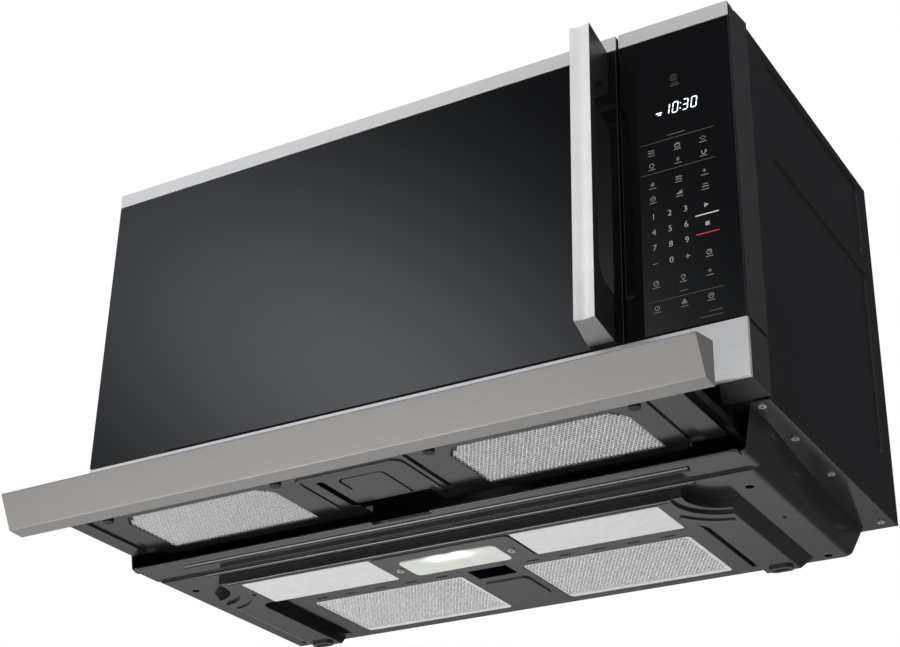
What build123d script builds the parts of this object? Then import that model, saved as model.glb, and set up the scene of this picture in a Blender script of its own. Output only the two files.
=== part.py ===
from build123d import *

import math
import os

# Over-the-range microwave oven with a slide-out vent, drawn with the vent pulled out.
# Sizes are millimetres. X runs right as seen from the front, Y back to the wall, Z up.
# The origin is the centre of the cabinet's back face, which lies against the wall.

os.makedirs("parts", exist_ok=True)

# ---- Driving sizes: whole oven ---------------------------------------------------------------
overall_width = 759.0  # door and panel, for a 30 inch opening
side_reveal = 1.9  # cabinet narrower than door and panel, each side
cabinet_height = 412.6
top_reveal = 6.0  # fascia top below the cabinet top
body_depth = 409.0  # wall to door glass
fascia_depth = 50.0  # door and control module
fascia_lift = 2.7  # fascia bottom above the cabinet bottom
sheet = 1.0  # folded steel
moulding = 2.5  # plastic walls
fit_gap = 0.3  # between neighbouring pieces
running_fit = 0.05  # radial, pins and shafts

# ---- Door and control panel ------------------------------------------------------------------
panel_width = 117.0
panel_gap = 3.0
bar_height = 57.9  # silver bar under door and panel
bar_gap = 1.5
strip_height = 16.5
strip_return = 14.0
glass_thickness = 4.0
door_edge_depth = 41.0  # glass face to the back of the bezel
hinge_inset = 13.5  # hinge pin from the door's left edge
hinge_setback = 31.0  # hinge pin behind the door glass
hinge_pin_radius = 3.0
handle_standoff = 54.0
handle_grip = 14.0  # thickness of the grip
handle_front_width = 21.4
handle_foot_width = 27.0
handle_front_inset = 13.8  # middle of the grip's face from the door's right edge
handle_foot_inset = 23.0  # middle of the foot
handle_end_gap = 4.0  # above the bottom of the glass
handle_foot_height = 50.0
handle_hollow = 2.2  # dish of the grip's face

# ---- Oven cavity -----------------------------------------------------------------------------
door_margin = 49.5  # cavity wall in from the door's edges
cavity_rise = 80.0  # cavity floor above the fascia bottom
ceiling_space = 79.9  # above the cavity, for the vent blower
back_space = 16.0  # behind the cavity
cavity_corner = 12.0
turntable_margin = 13.0  # turntable's edge to the cavity's front and back
turntable_glass = 5.0
roller_radius = 7.0
roller_inset = 50.0  # roller circle inside the turntable's edge

# ---- Vent tray and visor ---------------------------------------------------------------------
vent_travel = 120.0
visor_overlap = 0.5  # wider than door and panel, each side
visor_skin = 1.2
visor_drop = 47.0  # lowest edge below the fascia bottom
visor_top_drop = 12.0  # front top edge below the fascia bottom
visor_rear_drop = 5.0
visor_lean = 18.5  # how far the face leans back
visor_sole = 18.5  # flat underside, front to back
tray_margin = 37.6  # tray's end in from the cabinet's side
tray_depth = 138.0
tray_drop = 34.0
tray_side = 20.0  # height of the tray's side flanges
tray_filter_inner = 98.0
tray_filter_margin = 59.0  # filter opening in from the tray's end
tray_filter_depth = 90.0
tray_filter_front = 33.0  # behind the visor's back

# ---- Base pan --------------------------------------------------------------------------------
pan_lip_setback = 45.5  # hem behind the door glass
pan_wall_setback = 53.0  # front edge of the side walls
pan_drop = 46.0  # front shelf below the fascia bottom
pan_step_setback = 92.0  # where the shelf steps down to the side bands
pan_step = 2.5
pan_fold_radius = 7.0
pan_top_margin = 19.5  # top of the side wall in from the cabinet's side
pan_shelf_margin = 27.0  # foot of the wall beside the shelf
pan_band_margin = 34.6  # foot of the wall behind the step
pan_waist_setback = 245.0
pan_waist_margin = 30.6  # top of the wall at the waist
pan_tail_margin = 34.1  # top of the wall at the back
pan_tail_fold = 59.0  # start of the rear wall, ahead of the cabinet's back
pan_tail_rim = 13.0  # top of the rear wall
hem_depth = 12.5  # hem along the lip, front to back
hem_drop = 2.0
plateau_drop = 62.0
plateau_margin = 80.6
plateau_setback = 98.0
plateau_tail = 83.0  # rear edge, ahead of the cabinet's back
plateau_flare = 13.0  # spread of the side and rear slopes
plateau_round = 3.0
scoop_radius = 36.0  # hollow at the plateau's front corners
scoop_setback = 106.0
scoop_offset = 6.0  # its middle outside the plateau's edge
recess_margin = 115.6
recess_setback = 165.0
recess_corner = 14.0
recess_height = 10.0
gutter_reach = 25.0
gutter_width = 16.0
gutter_depth = 8.0
foot_inset = 16.0  # from the plateau's side edge
foot_tail = 94.0  # ahead of the cabinet's back
foot_length = 26.0
foot_width = 14.0
base_filter_inner = 36.0
base_filter_margin = 37.0  # opening in from the recess's side
base_filter_front = 214.0
base_filter_tail = 81.0  # rear edge of the opening, ahead of the wall
filter_thickness = 8.0
lamp_half_width = 80.0
lamp_front = 103.0
lamp_depth = 65.0
lens_half_width = 56.0
lens_depth = 42.0
lens_setback = 139.5  # middle of the lens

# ---- Reference planes ------------------------------------------------------------------------
half_fascia = overall_width / 2
half_cabinet = half_fascia - side_reveal
front = -body_depth
chassis_front = front + fascia_depth
bottom = -cabinet_height / 2
top = cabinet_height / 2
fascia_bottom = bottom + fascia_lift
fascia_top = top - top_reveal
base_plate_top = bottom + 7.0
door_left = -half_fascia
panel_right = half_fascia
panel_left = panel_right - panel_width
door_right = panel_left - panel_gap
door_width = door_right - door_left
door_bottom = fascia_bottom + bar_height + bar_gap
glass_top = fascia_top - strip_height
cavity_left = door_left + door_margin
cavity_right = door_right - door_margin
cavity_width = cavity_right - cavity_left
cavity_x = (cavity_left + cavity_right) / 2
cavity_floor = fascia_bottom + cavity_rise
cavity_ceiling = top - ceiling_space
cavity_height = cavity_ceiling - cavity_floor
cavity_back = -back_space
cavity_depth = cavity_back - chassis_front - sheet
cavity_y = cavity_back - cavity_depth / 2
turntable_radius = cavity_depth / 2 - turntable_margin
roller_circle = turntable_radius - roller_inset
side_bay = half_cabinet - sheet - (cavity_right + sheet)  # room right of the cavity
tray_half = half_cabinet - tray_margin
tray_filter_outer = tray_half - tray_filter_margin
plateau_half = half_cabinet - plateau_margin
recess_half = half_cabinet - recess_margin
base_filter_outer = recess_half - base_filter_margin


def at_x(x):
    """Sketch plane across X: sketch x is Y, sketch y is Z, extrusions run right."""
    return Plane.YZ.offset(x)


def at_y(y):
    """Sketch plane across Y: sketch x is X, sketch y is Z, extrusions run to the front."""
    return Plane.XZ.offset(-y)


def at_z(z):
    """Sketch plane across Z: extrusions run up."""
    return Plane.XY.offset(z)


def block(x0, x1, y0, y1, z0, z1, mode=Mode.ADD):
    """A box between two opposite corners."""
    with Locations(((x0 + x1) / 2, (y0 + y1) / 2, (z0 + z1) / 2)):
        Box(x1 - x0, y1 - y0, z1 - z0, mode=mode)


def rod_x(y, z, x0, x1, radius, mode=Mode.ADD):
    """A cylinder along X."""
    with Locations(((x0 + x1) / 2, y, z)):
        Cylinder(radius, x1 - x0, rotation=(0, 90, 0), mode=mode)


def rod_y(x, z, y0, y1, radius, mode=Mode.ADD):
    """A cylinder along Y."""
    with Locations((x, (y0 + y1) / 2, z)):
        Cylinder(radius, y1 - y0, rotation=(90, 0, 0), mode=mode)


def rod_z(x, y, z0, z1, radius, mode=Mode.ADD):
    """A cylinder along Z."""
    with Locations((x, y, (z0 + z1) / 2)):
        Cylinder(radius, z1 - z0, mode=mode)


# ---- Cabinet wrap: top and two sides folded from one sheet -----------------------------------
wrap_bend = 4.0
wrap_front = chassis_front + sheet
wrap_flange = 18.0
wrap_flange_z = bottom + sheet  # rests on the base pan's flange
emboss_depth = 2.0
emboss_front = chassis_front + 54.0
emboss_back = -28.0
upper_emboss = (top - 101.0, top - 12.0)
lower_emboss = (bottom + 68.0, top - 124.0)
duct_half_width = 128.0
duct_front = -101.0
duct_back = -15.0
grille_left = cavity_left + 30.0
grille_right = cavity_right - 70.0
grille_front = wrap_front + 12.0
grille_depth = 46.0
bolt_spacing = 360.0
bolt_y = -270.0
bolt_radius = 3.5
cord_x = half_cabinet - 47.6
cord_y = -40.0
cord_bore = 5.0
bushing_radius = 9.0
flange_screws = (60.0, 142.0, 239.0, body_depth - 22.0)  # behind the door glass
flange_screw_x = half_cabinet - 11.6
flange_screw_radius = 1.6
flange_hole_radius = 2.2

with BuildPart() as outer_wrap:
    inner_side = half_cabinet - sheet
    with BuildSketch(at_y(0)):
        with Locations((half_cabinet / 2, 0)):
            Rectangle(half_cabinet, cabinet_height)
        fillet(vertices().group_by(Axis.X)[-1].sort_by(Axis.Y)[-1], wrap_bend)
    extrude(amount=-wrap_front)
    with BuildSketch(at_y(1)):
        with Locations((inner_side / 2 - 1, -sheet)):
            Rectangle(inner_side + 2, cabinet_height)
        fillet(vertices().group_by(Axis.X)[-1].sort_by(Axis.Y)[-1], wrap_bend - sheet)
    extrude(amount=2 - wrap_front, mode=Mode.SUBTRACT)
    block(inner_side - wrap_flange, inner_side, wrap_front, 0, wrap_flange_z, wrap_flange_z + sheet)
    for setback in flange_screws:
        rod_z(
            flange_screw_x, front + setback, wrap_flange_z - 1, wrap_flange_z + 3, flange_screw_radius,
            Mode.SUBTRACT,
        )
    inward = Plane(origin=(half_cabinet, 0, 0), x_dir=(0, 1, 0), z_dir=(-1, 0, 0))
    emboss_y = (emboss_front + emboss_back) / 2
    for low, high in (upper_emboss, lower_emboss):
        with BuildSketch(inward.offset(sheet)):
            with Locations((emboss_y, -(low + high) / 2)):
                RectangleRounded(emboss_back - emboss_front, high - low, 10)
        extrude(amount=emboss_depth, taper=30)
    for low, high in (upper_emboss, lower_emboss):
        with BuildSketch(inward):
            with Locations((emboss_y, -(low + high) / 2)):
                RectangleRounded(emboss_back - emboss_front - 2, high - low - 2, 9)
        extrude(amount=emboss_depth, taper=30, mode=Mode.SUBTRACT)
    mirror(about=Plane.YZ)
    block(-duct_half_width, duct_half_width, duct_front, duct_back, top - 5, top + 5, Mode.SUBTRACT)
    block(
        grille_left, grille_right, grille_front, grille_front + grille_depth, top - 5, top + 5, Mode.SUBTRACT
    )
    for side in (-1, 1):
        rod_z(side * bolt_spacing / 2, bolt_y, top - 4, top - sheet, 12)
        rod_z(side * bolt_spacing / 2, bolt_y, top - 9, top + 5, bolt_radius, Mode.SUBTRACT)
    rod_z(cord_x, cord_y, top - 5, top + 5, bushing_radius, Mode.SUBTRACT)
outer_wrap.part.label = "outer_wrap"
export_step(outer_wrap.part, "parts/outer_wrap.step")

# ---- Cord bushing in the top sheet -----------------------------------------------------------
with BuildPart() as cord_bushing:
    rod_z(cord_x, cord_y, top - 6, top + 3, bushing_radius - fit_gap)
    rod_z(cord_x, cord_y, top, top + 3, bushing_radius + 3)
    rod_z(cord_x, cord_y, top - 6, top - sheet - fit_gap, bushing_radius + 2)
    rod_z(cord_x, cord_y, top - 10, top + 10, cord_bore, Mode.SUBTRACT)
cord_bushing.part.label = "cord_bushing"
export_step(cord_bushing.part, "parts/cord_bushing.step")

# ---- Back sheet, with slots for the wall plate's tabs ----------------------------------------
back_half_width = half_cabinet - sheet - fit_gap
back_low = wrap_flange_z + sheet + fit_gap
back_high = top - sheet - fit_gap
back_flange = 12.0
slot_width = 40.0
slot_height = 5.0
slot_rise = 22.0
slot_places = (-250.0, -90.0, 90.0, 250.0)
knockout_height = 82.0
knockout_drop = 30.0
knockout_line = 2.0
with BuildPart() as back_plate:
    block(-back_half_width, back_half_width, -back_flange, 0, back_low, back_high)
    fillet(back_plate.edges().filter_by(Axis.Y).group_by(Axis.Z)[-1], wrap_bend - sheet)
    block(
        -back_half_width + sheet,
        back_half_width - sheet,
        -back_flange - 1,
        -sheet,
        back_low + sheet,
        back_high - sheet,
        Mode.SUBTRACT,
    )
    for x in slot_places:
        block(
            x - slot_width / 2,
            x + slot_width / 2,
            -5,
            5,
            back_low + slot_rise,
            back_low + slot_rise + slot_height,
            Mode.SUBTRACT,
        )
    # scored outline of the knock-out for a duct through the wall
    knockout_top = back_high - knockout_drop
    knockout_low = knockout_top - knockout_height
    with BuildSketch(at_y(0)):
        with Locations((0, (knockout_top + knockout_low) / 2)):
            Rectangle(2 * duct_half_width, knockout_height)
            Rectangle(
                2 * (duct_half_width - knockout_line), knockout_height - 2 * knockout_line,
                mode=Mode.SUBTRACT,
            )
    extrude(amount=0.4, mode=Mode.SUBTRACT)
    rod_z(cord_x, cord_y, back_high - 3, back_high + 3, bushing_radius + 4, Mode.SUBTRACT)
back_plate.part.label = "back_plate"
export_step(back_plate.part, "parts/back_plate.step")

# ---- Chassis base: carries the transformer, turntable motor and slide rails ------------------
base_half_width = half_cabinet - sheet - fit_gap
base_plate_back = -back_flange - fit_gap
side_duct_width = 32.0
motor_radius = 26.0
turntable_x = cavity_x
turntable_y = cavity_y
with BuildPart() as chassis_base:
    block(
        -base_half_width, base_half_width, wrap_front, base_plate_back, base_plate_top - sheet,
        base_plate_top,
    )
    for x in (-base_half_width, base_half_width - sheet):
        block(x, x + sheet, wrap_front, base_plate_back, wrap_flange_z + sheet, base_plate_top)
    for x in (-base_half_width + 12, base_half_width - 12 - side_duct_width):
        block(x, x + side_duct_width, wrap_front + 30, -60, bottom, top, Mode.SUBTRACT)
    for x in (turntable_x - 90, turntable_x + 120):
        with BuildSketch(at_z(bottom)):
            with Locations((x, turntable_y + 78)):
                RectangleRounded(120, 60, 8)
        extrude(amount=20, mode=Mode.SUBTRACT)
chassis_base.part.label = "chassis_base"
export_step(chassis_base.part, "parts/chassis_base.step")

# ---- Front frame: the plate that the door closes against -------------------------------------
frame_half_width = half_cabinet - 0.7
frame_bottom = base_plate_top - sheet
latch_x = door_right - 16.5
latch_slot_heights = (cavity_floor + 40.0, cavity_ceiling - 40.0)
latch_slot = (9.0, 30.0)  # width, height
hinge_x = door_left + hinge_inset
hinge_y = front + hinge_setback
with BuildPart() as front_frame:
    block(-frame_half_width, frame_half_width, chassis_front, chassis_front + sheet, frame_bottom, top - 0.7)
    fillet(front_frame.edges().filter_by(Axis.Y).group_by(Axis.Z)[-1], wrap_bend)
    with BuildSketch(at_y(chassis_front + 5)):
        with Locations((cavity_x, (cavity_floor + cavity_ceiling) / 2)):
            RectangleRounded(cavity_width, cavity_height, cavity_corner)
    extrude(amount=10, mode=Mode.SUBTRACT)
    for z in latch_slot_heights:
        block(
            latch_x - latch_slot[0] / 2,
            latch_x + latch_slot[0] / 2,
            chassis_front - 5,
            chassis_front + 5,
            z - latch_slot[1] / 2,
            z + latch_slot[1] / 2,
            Mode.SUBTRACT,
        )
    block(
        panel_left + 20, panel_right - 20, chassis_front - 5, chassis_front + 5,
        fascia_bottom + 90, glass_top - 60, Mode.SUBTRACT,
    )
front_frame.part.label = "front_frame"
export_step(front_frame.part, "parts/front_frame.step")

# ---- Oven cavity liner -----------------------------------------------------------------------
coupler_hole = 10.0
guide_height = 56.0
guide_depth = 96.0
guide_y = cavity_y - 20.0
guide_z = cavity_ceiling - 70.0
lamp_port_y = cavity_back - 60.0
lamp_port_z = cavity_ceiling - 30.0
with BuildPart() as cavity_liner:
    with BuildSketch(at_y(cavity_back + sheet)):
        with Locations((cavity_x, (cavity_floor + cavity_ceiling) / 2)):
            RectangleRounded(cavity_width + 2 * sheet, cavity_height + 2 * sheet, cavity_corner + sheet)
    extrude(amount=cavity_depth + sheet)
    with BuildSketch(at_y(cavity_back)):
        with Locations((cavity_x, (cavity_floor + cavity_ceiling) / 2)):
            RectangleRounded(cavity_width, cavity_height, cavity_corner)
    extrude(amount=cavity_depth + 5, mode=Mode.SUBTRACT)
    rod_z(turntable_x, turntable_y, cavity_floor - 5, cavity_floor + 5, coupler_hole, Mode.SUBTRACT)
    block(
        cavity_right - 5,
        cavity_right + 5,
        guide_y - guide_depth / 2,
        guide_y + guide_depth / 2,
        guide_z - guide_height / 2,
        guide_z + guide_height / 2,
        Mode.SUBTRACT,
    )
    for column in range(4):
        y = lamp_port_y + 7 * column
        block(cavity_right - 5, cavity_right + 5, y - 2, y + 2, lamp_port_z - 21, lamp_port_z, Mode.SUBTRACT)
        y = cavity_y + 90 + 7 * column
        block(
            cavity_left - 5, cavity_left + 5, y - 2, y + 2, cavity_ceiling - 61, cavity_ceiling - 40,
            Mode.SUBTRACT,
        )
cavity_liner.part.label = "cavity_liner"
export_step(cavity_liner.part, "parts/cavity_liner.step")

# ---- Waveguide on the cavity's right wall, and the cover that closes it inside ---------------
guide_reach = 40.0
with BuildPart() as waveguide:
    guide_x = cavity_right + sheet
    block(
        guide_x,
        guide_x + guide_reach,
        guide_y - guide_depth / 2 - sheet,
        guide_y + guide_depth / 2 + sheet,
        guide_z - guide_height / 2 - sheet,
        guide_z + guide_height / 2 + sheet,
    )
    block(
        guide_x - 1,
        guide_x + guide_reach - sheet,
        guide_y - guide_depth / 2,
        guide_y + guide_depth / 2,
        guide_z - guide_height / 2,
        guide_z + guide_height / 2,
        Mode.SUBTRACT,
    )
    rod_x(guide_y, guide_z, guide_x, guide_x + guide_reach + 5, 12, Mode.SUBTRACT)
waveguide.part.label = "waveguide"
export_step(waveguide.part, "parts/waveguide.step")

with BuildPart() as waveguide_cover:
    with BuildSketch(at_x(cavity_right - 0.8)):
        with Locations((guide_y, guide_z)):
            RectangleRounded(guide_depth + 14, guide_height + 14, 6)
    extrude(amount=0.8)
waveguide_cover.part.label = "waveguide_cover"
export_step(waveguide_cover.part, "parts/waveguide_cover.step")

# ---- Magnetron: finned block, magnets, base plate and antenna --------------------------------
magnetron_x = cavity_right + sheet + guide_reach
magnetron_end_gap = 27.6  # to the cabinet's side
magnetron_length = side_bay - guide_reach - magnetron_end_gap
magnetron_half = 40.0
magnet_thickness = 12.0
fin_count = 6
with BuildPart() as magnetron:
    block(magnetron_x, magnetron_x + 2, guide_y - 46, guide_y + 46, guide_z - 46, guide_z + 46)
    for share in (0.12, 0.67):
        x = magnetron_x + share * magnetron_length
        block(
            x, x + magnet_thickness, guide_y - magnetron_half, guide_y + magnetron_half,
            guide_z - magnetron_half, guide_z + magnetron_half,
        )
    block(
        magnetron_x, magnetron_x + 0.92 * magnetron_length, guide_y - 18, guide_y + 18, guide_z - 18,
        guide_z + 18,
    )
    for fin in range(fin_count):
        x = magnetron_x + (0.28 + 0.066 * fin) * magnetron_length
        block(x, x + 1.2, guide_y - 36, guide_y + 36, guide_z - magnetron_half, guide_z + magnetron_half)
    block(
        magnetron_x + 0.8 * magnetron_length, magnetron_x + magnetron_length, guide_y - 30, guide_y + 30,
        guide_z - 30, guide_z + 30,
    )
    rod_x(guide_y, guide_z, magnetron_x - 0.7 * guide_reach, magnetron_x, 8)
magnetron.part.label = "magnetron"
export_step(magnetron.part, "parts/magnetron.step")

# ---- Transformer and capacitor on the chassis base -------------------------------------------
transformer_x = half_cabinet - 107.6
transformer_height = 70.0
transformer_y = chassis_front + 90.0
with BuildPart() as transformer:
    block(
        transformer_x - 46,
        transformer_x + 46,
        transformer_y - 40,
        transformer_y + 40,
        base_plate_top,
        base_plate_top + transformer_height,
    )
    for side in (-1, 1):
        with BuildSketch(at_y(transformer_y + 58)):
            with Locations((transformer_x + side * 22, base_plate_top + transformer_height / 2 + 2)):
                RectangleRounded(34, 52, 8)
        extrude(amount=116)
    for side in (-1, 1):
        block(
            transformer_x + side * 52 - 12,
            transformer_x + side * 52 + 12,
            transformer_y - 30,
            transformer_y + 30,
            base_plate_top,
            base_plate_top + 2,
        )
transformer.part.label = "transformer"
export_step(transformer.part, "parts/transformer.step")

with BuildPart() as capacitor:
    with BuildSketch(at_z(base_plate_top)):
        with Locations((transformer_x + 10, transformer_y + 130)):
            SlotOverall(54, 32)
    extrude(amount=84)
    for side in (-1, 1):
        rod_z(
            transformer_x + 10 + side * 10, transformer_y + 130, base_plate_top + 84, base_plate_top + 96, 3
        )
capacitor.part.label = "capacitor"
export_step(capacitor.part, "parts/capacitor.step")

# ---- Cooling fan behind the magnetron --------------------------------------------------------
shroud_gap = 4.6  # to the cabinet's side
lamp_room = 29.0  # for the cavity lamp beside the shroud
shroud_half = (side_bay - shroud_gap - lamp_room) / 2
fan_x = half_cabinet - sheet - shroud_gap - shroud_half
fan_y = -64.0
fan_z = guide_z - 18.0
fan_radius = shroud_half - 12.0
fan_hub = 13.0
fan_shaft = 2.5
with BuildPart() as fan_shroud:
    with BuildSketch(at_y(fan_y + 10)):
        with Locations((fan_x, fan_z)):
            RectangleRounded(2 * shroud_half, 2 * shroud_half, 10)
            Circle(fan_radius + 3, mode=Mode.SUBTRACT)
    extrude(amount=20)
    for angle in (45, 135):
        with BuildSketch(at_y(fan_y + 14)):
            with Locations(Location((fan_x, fan_z), angle)):
                Rectangle(2.36 * shroud_half, 8)
        extrude(amount=4)
    rod_y(fan_x, fan_z, fan_y + 10, fan_y + 14, 24)
    for x in (fan_x - shroud_half, fan_x + shroud_half - 6):
        block(x, x + 6, fan_y - 10, fan_y + 10, base_plate_top, fan_z)
    rod_y(fan_x, fan_z, fan_y - 20, fan_y + 40, fan_hub - 1, Mode.SUBTRACT)
fan_shroud.part.label = "fan_shroud"
export_step(fan_shroud.part, "parts/fan_shroud.step")

with BuildPart() as fan_motor:
    with BuildSketch(at_y(fan_y + 32)):
        with Locations((fan_x, fan_z)):
            RectangleRounded(44, 38, 5)
    extrude(amount=18)
    rod_y(fan_x, fan_z, fan_y + 11, fan_y + 38, fan_hub - 1 - running_fit)
    rod_y(fan_x, fan_z, fan_y + 5, fan_y + 36, fan_shaft + running_fit, Mode.SUBTRACT)
fan_motor.part.label = "fan_motor"
export_step(fan_motor.part, "parts/fan_motor.step")

with BuildPart() as fan_blade:
    rod_y(fan_x, fan_z, fan_y - 8, fan_y + 8, fan_hub)
    for blade in range(5):
        angle = 72 * blade
        spoke = Plane(
            origin=(fan_x, fan_y, fan_z),
            x_dir=(math.cos(math.radians(angle)), 0, math.sin(math.radians(angle))),
            z_dir=(-math.sin(math.radians(angle)), 0.9, math.cos(math.radians(angle))),
        )
        with BuildSketch(spoke.offset(-1)):
            with Locations((fan_radius / 2 + 4, 0)):
                RectangleRounded(fan_radius - 8, 14, 3)
        extrude(amount=2)
    rod_y(fan_x, fan_z, fan_y - 8, fan_y + 34, fan_shaft)
fan_blade.part.label = "fan_blade"
export_step(fan_blade.part, "parts/fan_blade.step")

# ---- Cavity lamp -----------------------------------------------------------------------------
with BuildPart() as cavity_lamp:
    lamp_y = lamp_port_y + 10.5
    lamp_z = lamp_port_z - 10.5
    block(cavity_right + sheet, cavity_right + 4, lamp_y - 18, lamp_y + 18, lamp_z - 18, lamp_z + 18)
    rod_x(lamp_y, lamp_z, cavity_right + 4, cavity_right + 26, 11)
    block(
        cavity_right + sheet - 1, cavity_right + 3, lamp_y - 14, lamp_y + 14, lamp_z - 14,
        lamp_z + 14, Mode.SUBTRACT,
    )
cavity_lamp.part.label = "cavity_lamp"
export_step(cavity_lamp.part, "parts/cavity_lamp.step")

# ---- Turntable: motor, coupler, roller ring and glass ----------------------------------------
motor_height = 18.0
coupler_radius = 8.0
coupler_top = cavity_floor + 2 * roller_radius + 0.4
motor_shaft = 3.0
with BuildPart() as turntable_motor:
    motor_top = cavity_floor - sheet
    rod_z(turntable_x, turntable_y, motor_top - motor_height, motor_top, motor_radius)
    for side in (-1, 1):
        with BuildSketch(at_z(motor_top - 2)):
            with Locations((turntable_x + side * (motor_radius + 4), turntable_y)):
                SlotOverall(20, 12)
        extrude(amount=2)
    rod_z(turntable_x, turntable_y, motor_top - 12, motor_top + 1, motor_shaft + running_fit, Mode.SUBTRACT)
turntable_motor.part.label = "turntable_motor"
export_step(turntable_motor.part, "parts/turntable_motor.step")

with BuildPart() as turntable_coupler:
    rod_z(turntable_x, turntable_y, cavity_floor - 10, cavity_floor + 1, motor_shaft)
    rod_z(turntable_x, turntable_y, cavity_floor + fit_gap, coupler_top - 3, coupler_radius)
    for lobe in range(3):
        angle = math.radians(120 * lobe)
        rod_z(
            turntable_x + 8 * math.cos(angle),
            turntable_y + 8 * math.sin(angle),
            coupler_top - 6,
            coupler_top,
            5,
        )
turntable_coupler.part.label = "turntable_coupler"
export_step(turntable_coupler.part, "parts/turntable_coupler.step")

with BuildPart() as roller_ring:
    ring_low = cavity_floor + roller_radius - 2.5
    with BuildSketch(at_z(ring_low)):
        with Locations((turntable_x, turntable_y)):
            Circle(roller_circle - 6)
            Circle(roller_circle - 14, mode=Mode.SUBTRACT)
    extrude(amount=5)
    for arm in range(3):
        angle = math.radians(120 * arm + 30)
        outward = Plane(
            origin=(
                turntable_x + (roller_circle - 8) * math.cos(angle),
                turntable_y + (roller_circle - 8) * math.sin(angle),
                cavity_floor + roller_radius + 0.2,
            ),
            z_dir=(math.cos(angle), math.sin(angle), 0),
        )
        with BuildSketch(outward):
            Circle(2)
        extrude(amount=12)
        with BuildSketch(outward.offset(4)):
            Circle(roller_radius)
        extrude(amount=7)
roller_ring.part.label = "roller_ring"
export_step(roller_ring.part, "parts/roller_ring.step")

with BuildPart() as turntable_plate:
    plate_low = coupler_top + fit_gap
    with BuildSketch(at_z(plate_low)):
        with Locations((turntable_x, turntable_y)):
            Circle(turntable_radius - 14)
    with BuildSketch(at_z(plate_low + 10)):
        with Locations((turntable_x, turntable_y)):
            Circle(turntable_radius)
    loft()
    with BuildSketch(at_z(plate_low + turntable_glass)):
        with Locations((turntable_x, turntable_y)):
            Circle(turntable_radius - 14)
    with BuildSketch(at_z(plate_low + 10)):
        with Locations((turntable_x, turntable_y)):
            Circle(turntable_radius - 7)
    loft(mode=Mode.SUBTRACT)
turntable_plate.part.label = "turntable_plate"
export_step(turntable_plate.part, "parts/turntable_plate.step")

# ---- Vent blower above the cavity: housing, motor and twin-wheel rotor -----------------------
blower_y = (duct_front + duct_back) / 2
blower_low = cavity_ceiling + sheet + fit_gap
blower_high = top - sheet
blower_z = (blower_low + blower_high) / 2
wheel_radius = (blower_high - blower_low) / 2 - 8.8
wheel_inner = duct_half_width - 18.0
wheel_gap = 36.0
wheel_bore = 4.0
blade_count = 16
with BuildPart() as blower_housing:
    block(-duct_half_width, duct_half_width, duct_front, duct_back, blower_low, blower_high)
    block(
        -duct_half_width + sheet,
        duct_half_width - sheet,
        duct_front + sheet,
        duct_back - sheet,
        blower_low + sheet,
        blower_high + 1,
        Mode.SUBTRACT,
    )
    rod_x(blower_y, blower_z, -duct_half_width - 5, duct_half_width + 5, wheel_radius - 4, Mode.SUBTRACT)
blower_housing.part.label = "blower_housing"
export_step(blower_housing.part, "parts/blower_housing.step")

with BuildPart() as blower_motor:
    rod_x(blower_y, blower_z, -wheel_gap + 4, wheel_gap - 4, wheel_radius - 3)
    block(-20, 20, blower_y - 16, blower_y + 16, blower_low + sheet, blower_z)
    rod_x(blower_y, blower_z, -wheel_gap, wheel_gap, wheel_bore + running_fit, Mode.SUBTRACT)
blower_motor.part.label = "blower_motor"
export_step(blower_motor.part, "parts/blower_motor.step")

with BuildPart() as blower_rotor:
    rod_x(blower_y, blower_z, -wheel_inner, wheel_inner, wheel_bore)
    for side in (-1, 1):
        near = side * wheel_gap
        far = side * wheel_inner
        rod_x(blower_y, blower_z, min(near, near + side * 2), max(near, near + side * 2), wheel_radius)
        with BuildSketch(at_x(min(far - side * 2, far))):
            with Locations((blower_y, blower_z)):
                Circle(wheel_radius)
                Circle(wheel_radius - 6, mode=Mode.SUBTRACT)
        extrude(amount=2)
        with BuildSketch(at_x(min(near, far))):
            with Locations((blower_y, blower_z)):
                with PolarLocations(wheel_radius - 3, blade_count):
                    Rectangle(5, 0.9, rotation=25)
        extrude(amount=wheel_inner - wheel_gap)
blower_rotor.part.label = "blower_rotor"
export_step(blower_rotor.part, "parts/blower_rotor.step")

# ---- Exhaust adapter on top, with its damper flap --------------------------------------------
collar_height = 26.0
collar_wall = 1.2
collar_inset = 2.0
damper_pin = 1.5
damper_rise = 9.0
damper_y = duct_front + collar_inset + 8.0
with BuildPart() as exhaust_adapter:
    block(
        -duct_half_width - 10, duct_half_width + 10, duct_front - 10, duct_back + 10, top, top + 1.2
    )
    block(
        -duct_half_width + collar_inset,
        duct_half_width - collar_inset,
        duct_front + collar_inset,
        duct_back - collar_inset,
        top,
        top + collar_height,
    )
    block(
        -duct_half_width + collar_inset + collar_wall,
        duct_half_width - collar_inset - collar_wall,
        duct_front + collar_inset + collar_wall,
        duct_back - collar_inset - collar_wall,
        top - 1,
        top + collar_height + 1,
        Mode.SUBTRACT,
    )
    rod_x(
        damper_y, top + damper_rise, -duct_half_width, duct_half_width, damper_pin + running_fit,
        Mode.SUBTRACT
    )
exhaust_adapter.part.label = "exhaust_adapter"
export_step(exhaust_adapter.part, "parts/exhaust_adapter.step")

with BuildPart() as damper_flap:
    flap_half = duct_half_width - collar_inset - collar_wall - 1
    rod_x(
        damper_y, top + damper_rise, -duct_half_width + collar_inset,
        duct_half_width - collar_inset, damper_pin
    )
    block(
        -flap_half,
        flap_half,
        damper_y,
        duct_back - collar_inset - collar_wall - 1,
        top + damper_rise - 0.5,
        top + damper_rise + 0.5,
    )
damper_flap.part.label = "damper_flap"
export_step(damper_flap.part, "parts/damper_flap.step")

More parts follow.
